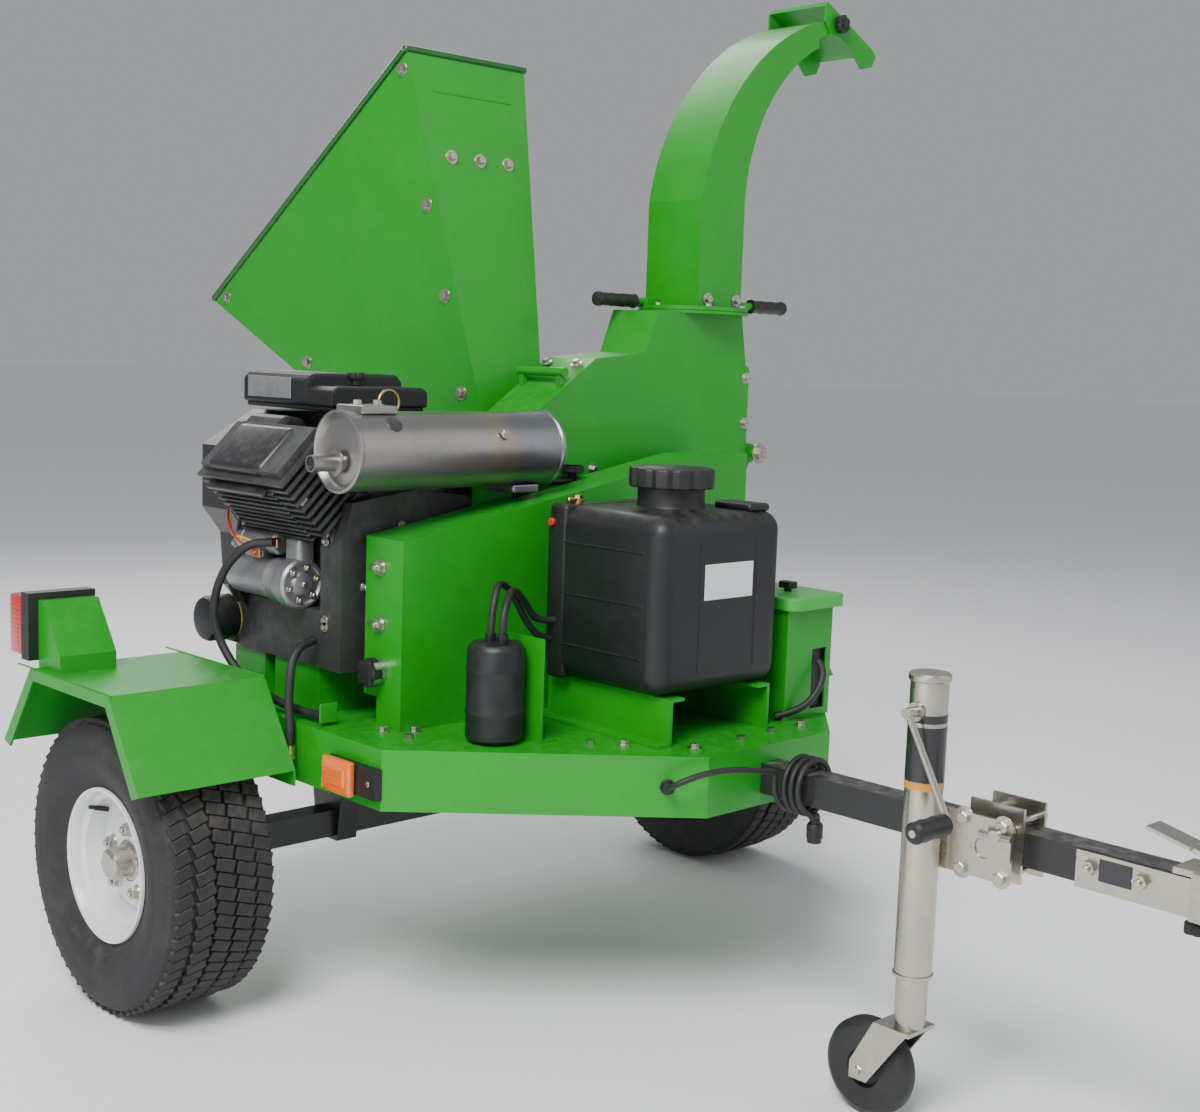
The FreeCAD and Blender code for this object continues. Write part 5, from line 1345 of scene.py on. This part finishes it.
@dataclass
class Battery:
    """Rounded lid, wing knob and cable of the battery box.

    Attributes:
        x: From and to ahead of the axle.
        y: From and to left of the middle.
        z: Underside of the lid.
        depth: Depth of the lid.
        corner: Radius of its corners.
        knob: Wing knob's axis ahead of the axle and left of the middle.
    """

    x: tuple[float, float] = (494.0, 699.0)
    y: tuple[float, float] = (142.0, 296.0)
    z: float = 706.4
    depth: float = 22.0
    corner: float = 22.0
    knob: tuple[float, float] = (620.0, 219.0)

    def build(self) -> None:
        """Build the lid with its turned-down rim, the knob and the cable."""
        bm = bmesh.new()
        bmesh.ops.create_cube(bm, size=1.0)
        size = Vector((self.x[1] - self.x[0], self.y[1] - self.y[0], self.depth))
        bmesh.ops.scale(bm, vec=size, verts=bm.verts)
        upright = [e for e in bm.edges if abs(e.verts[0].co.z - e.verts[1].co.z) > 1.0]
        bmesh.ops.bevel(bm, geom=upright, offset=self.corner, segments=6, profile=0.5,
                        affect="EDGES", material=-1)
        top = [e for e in bm.edges if min(v.co.z for v in e.verts) > 10.0
               and len(e.link_faces) == 2]
        bmesh.ops.bevel(bm, geom=top, offset=4.0, segments=3, profile=0.5, affect="EDGES",
                        material=-1)
        bottom = [f for f in bm.faces if f.normal.z < -0.9]
        bmesh.ops.inset_region(bm, faces=bottom, thickness=3.0)
        sunk = list({v for f in bottom for v in f.verts})
        bmesh.ops.translate(bm, vec=(0, 0, 18.0), verts=sunk)
        middle = ((self.x[0] + self.x[1]) / 2, (self.y[0] + self.y[1]) / 2,
                  self.z + self.depth / 2)
        bmesh.ops.translate(bm, vec=middle, verts=bm.verts)
        lid = Shape()
        lid.take(bm, smooth=False)
        lid.rod((self.x[0] - 3, self.y[0] + 14, self.z + 4), Axis.Y, 4,
                self.y[1] - self.y[0] - 20, 0.5, 20)
        lid.piece("battery_lid_pressed", LID_GREEN, "box_lid", "green_paint", ("battery_lid",))
        knob = Shape().rod((*self.knob, self.z + self.depth), Axis.Z, 7, 8, 1)
        knob.lobed((*self.knob, self.z + self.depth + 6), Axis.Z, 17, 12, 2, 7)
        knob.piece("battery_wing_knob", GRIP_PLASTIC, "box_lid", "black_plastic")
        line("battery_cable", [[(682, 240, 606), (696, 238, 596), (706, 222, 570),
                                (702, 196, 540), (690, 170, 524), (668, 140, 514)]], 6.5, RUBBER,
             "chassis")


@dataclass
class Harness:
    """Trailer lead: out of its grommet, wound round the tongue, with its plug hanging.

    Attributes:
        radius: Radius of the lead.
        wound: Radius of the turns round the tongue's axis.
        tongue_z: Height of the tongue's axis.
        start_x: Where the turns begin.
        pitch: Distance between turns.
        turns: Number of turns.
    """

    radius: float = 5.0
    wound: float = 46.0
    tongue_z: float = 452.0
    start_x: float = 832.0
    pitch: float = 14.5
    turns: float = 3.29

    def route(self) -> list[Point]:
        """Centreline of the lead in millimetres.

        Returns:
            Points from the grommet to the plug.
        """
        points: list[Point] = [(748, -212, 458), (762, -228, 462), (782, -232, 474),
                               (802, -206, 488), (812, -168, 492), (820, -126, 490),
                               (826, -84, 482)]
        first = math.radians(152)
        count = round(self.turns * 16)
        for index in range(count + 1):
            angle = first + math.tau * self.turns * index / count
            out = self.wound + max(0.0, 10.0 - 10.0 * index / 4)
            points.append((self.start_x + self.pitch * self.turns * index / count,
                           out * math.cos(angle), self.tongue_z + out * math.sin(angle)))
        return points

    def build(self) -> None:
        """Build the lead, the grommet's cone and the plug."""
        points = self.route()
        lead = line("trailer_lead", [points], self.radius, RUBBER, "chassis",
                    ("harness_lead", "harness_coil"))
        flow = Vector((0.75, -0.661, 0.0))
        sleeve = Shape().lathe((733, -202, 456), flow,
                               ((0, 0), (15, 0), (15, 4), (11, 6), (9, 14), (6.4, 18), (0, 18)),
                               32)
        sleeve.piece("lead_grommet", RUBBER, "chassis", "rubber", ("harness_grommet",))
        end = points[-1]
        plug = Shape().lathe((end[0], 0, 401), Axis.DOWN,
                             ((0, -4), (6, -4), (8, 0), (9, 6), (12, 8), (13.6, 12), (13.6, 32),
                              (12, 34), (12, 40), (0, 40)), 40)
        plug.rod((end[0], -12, 407), Vector((0, 1, -0.25)), 7.5, 18, 3, 24)
        plug.block((end[0] - 4, end[0] + 4), (-15.5, -12), (366, 384), 1.5, 2)
        plug.piece("lead_plug", GRIP_PLASTIC, "chassis", "black_plastic", ("harness_plug",))
        tuple(place(points[0]))


# ---- light, floor and camera -------------------------------------------------------------


@dataclass
class Studio:
    """Pale floor, soft lights and the camera.

    Attributes:
        eye: Camera place in millimetres from the axle.
        heading: Turn of the view from straight left towards back, in degrees.
        pitch: Tilt below the horizon, in degrees.
        roll: Roll in degrees.
        lens: Focal length in mm.
        sensor: Sensor's width in mm.
        ambient: Strength of the light from all round.
    """

    eye: Point = (2500.9, -2089.9, 1143.8)
    heading: float = 45.8
    pitch: float = 7.0
    roll: float = 2.0
    lens: float = 49.185
    sensor: float = 36.0
    ambient: float = 0.40

    def build(self) -> None:
        """Set up the floor, the world, the lights and the camera."""
        floor_mesh = bpy.data.meshes.new("floor")
        bm = bmesh.new()
        bmesh.ops.create_grid(bm, x_segments=1, y_segments=1, size=60.0)
        bm.to_mesh(floor_mesh)
        bm.free()
        floor = bpy.data.objects.new("floor", floor_mesh)
        bpy.context.scene.collection.objects.link(floor)
        pale = bpy.data.materials.new("floor_pale")
        graph = Graph(pale)
        shader = graph.add("ShaderNodeBsdfPrincipled", {}, {"Base Color": (0.95, 0.95, 0.95, 1.0),
                                                            "Roughness": 0.8})
        end = graph.tree.nodes.new("ShaderNodeOutputMaterial")
        graph.tree.links.new(shader.socket, end.inputs[0])
        floor.data.materials.append(pale)
        world = bpy.data.worlds.new("studio")
        bpy.context.scene.world = world
        world.use_nodes = True
        world.node_tree.nodes["Background"].inputs[0].default_value = (0.93, 0.95, 1.0, 1.0)
        world.node_tree.nodes["Background"].inputs[1].default_value = self.ambient
        for name, spot, size, power in (("key", (2200, -3300, 4400), 2.2, 330.0),
                                        ("fill", (3600, 1800, 2600), 4.0, 35.0),
                                        ("back", (-3400, 1500, 3900), 3.0, 130.0),
                                        ("low", (900, -3600, 700), 2.4, 22.0)):
            self._light(name, spot, size, power)
        self._camera()

    @staticmethod
    def _light(name: str, spot: Point, size: float, power: float) -> None:
        """Add a soft area light aimed at the machine.

        Args:
            name: Its name.
            spot: Place in millimetres from the axle.
            size: Side of its square in metres.
            power: Power in watts.
        """
        data = bpy.data.lights.new(name, "AREA")
        data.size = size
        data.energy = power
        lamp = bpy.data.objects.new(name, data)
        bpy.context.scene.collection.objects.link(lamp)
        lamp.location = place(spot)
        aim = place((200, 0, 800)) - lamp.location
        lamp.rotation_euler = aim.to_track_quat("-Z", "Y").to_euler()

    def _camera(self) -> None:
        """Stand the camera where the machine is looked at from."""
        a, p, r = (math.radians(angle) for angle in (self.heading, self.pitch, self.roll))
        ahead = Vector((-math.sin(a) * math.cos(p), math.cos(a) * math.cos(p), -math.sin(p)))
        right = Vector((math.cos(a), math.sin(a), 0.0))
        up = right.cross(ahead)
        right_rolled = right * math.cos(r) + up * math.sin(r)
        up_rolled = up * math.cos(r) - right * math.sin(r)
        data = bpy.data.cameras.new("view")
        data.lens = self.lens
        data.sensor_width = self.sensor
        camera = bpy.data.objects.new("view", data)
        bpy.context.scene.collection.objects.link(camera)
        camera.matrix_world = (Matrix.Translation(place(self.eye))
                               @ Matrix((right_rolled, up_rolled, -ahead)).transposed().to_4x4())
        bpy.context.scene.camera = camera


def main() -> None:
    """Load the frame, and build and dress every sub-assembly."""
    logging.basicConfig(level=logging.INFO, format="%(message)s")
    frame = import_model()
    dress(frame["nodes"], NODE_FINISHES)
    for assembly in (Wheel(-1, "right"), Wheel(1, "left"), Exhaust(), FuelTank(), Engine(),
                     Hopper(), Housing(), Drive(), Lamps(), Jack(), Battery(), Harness(),
                     Studio()):
        assembly.build()


if __name__ == "__main__":
    main()
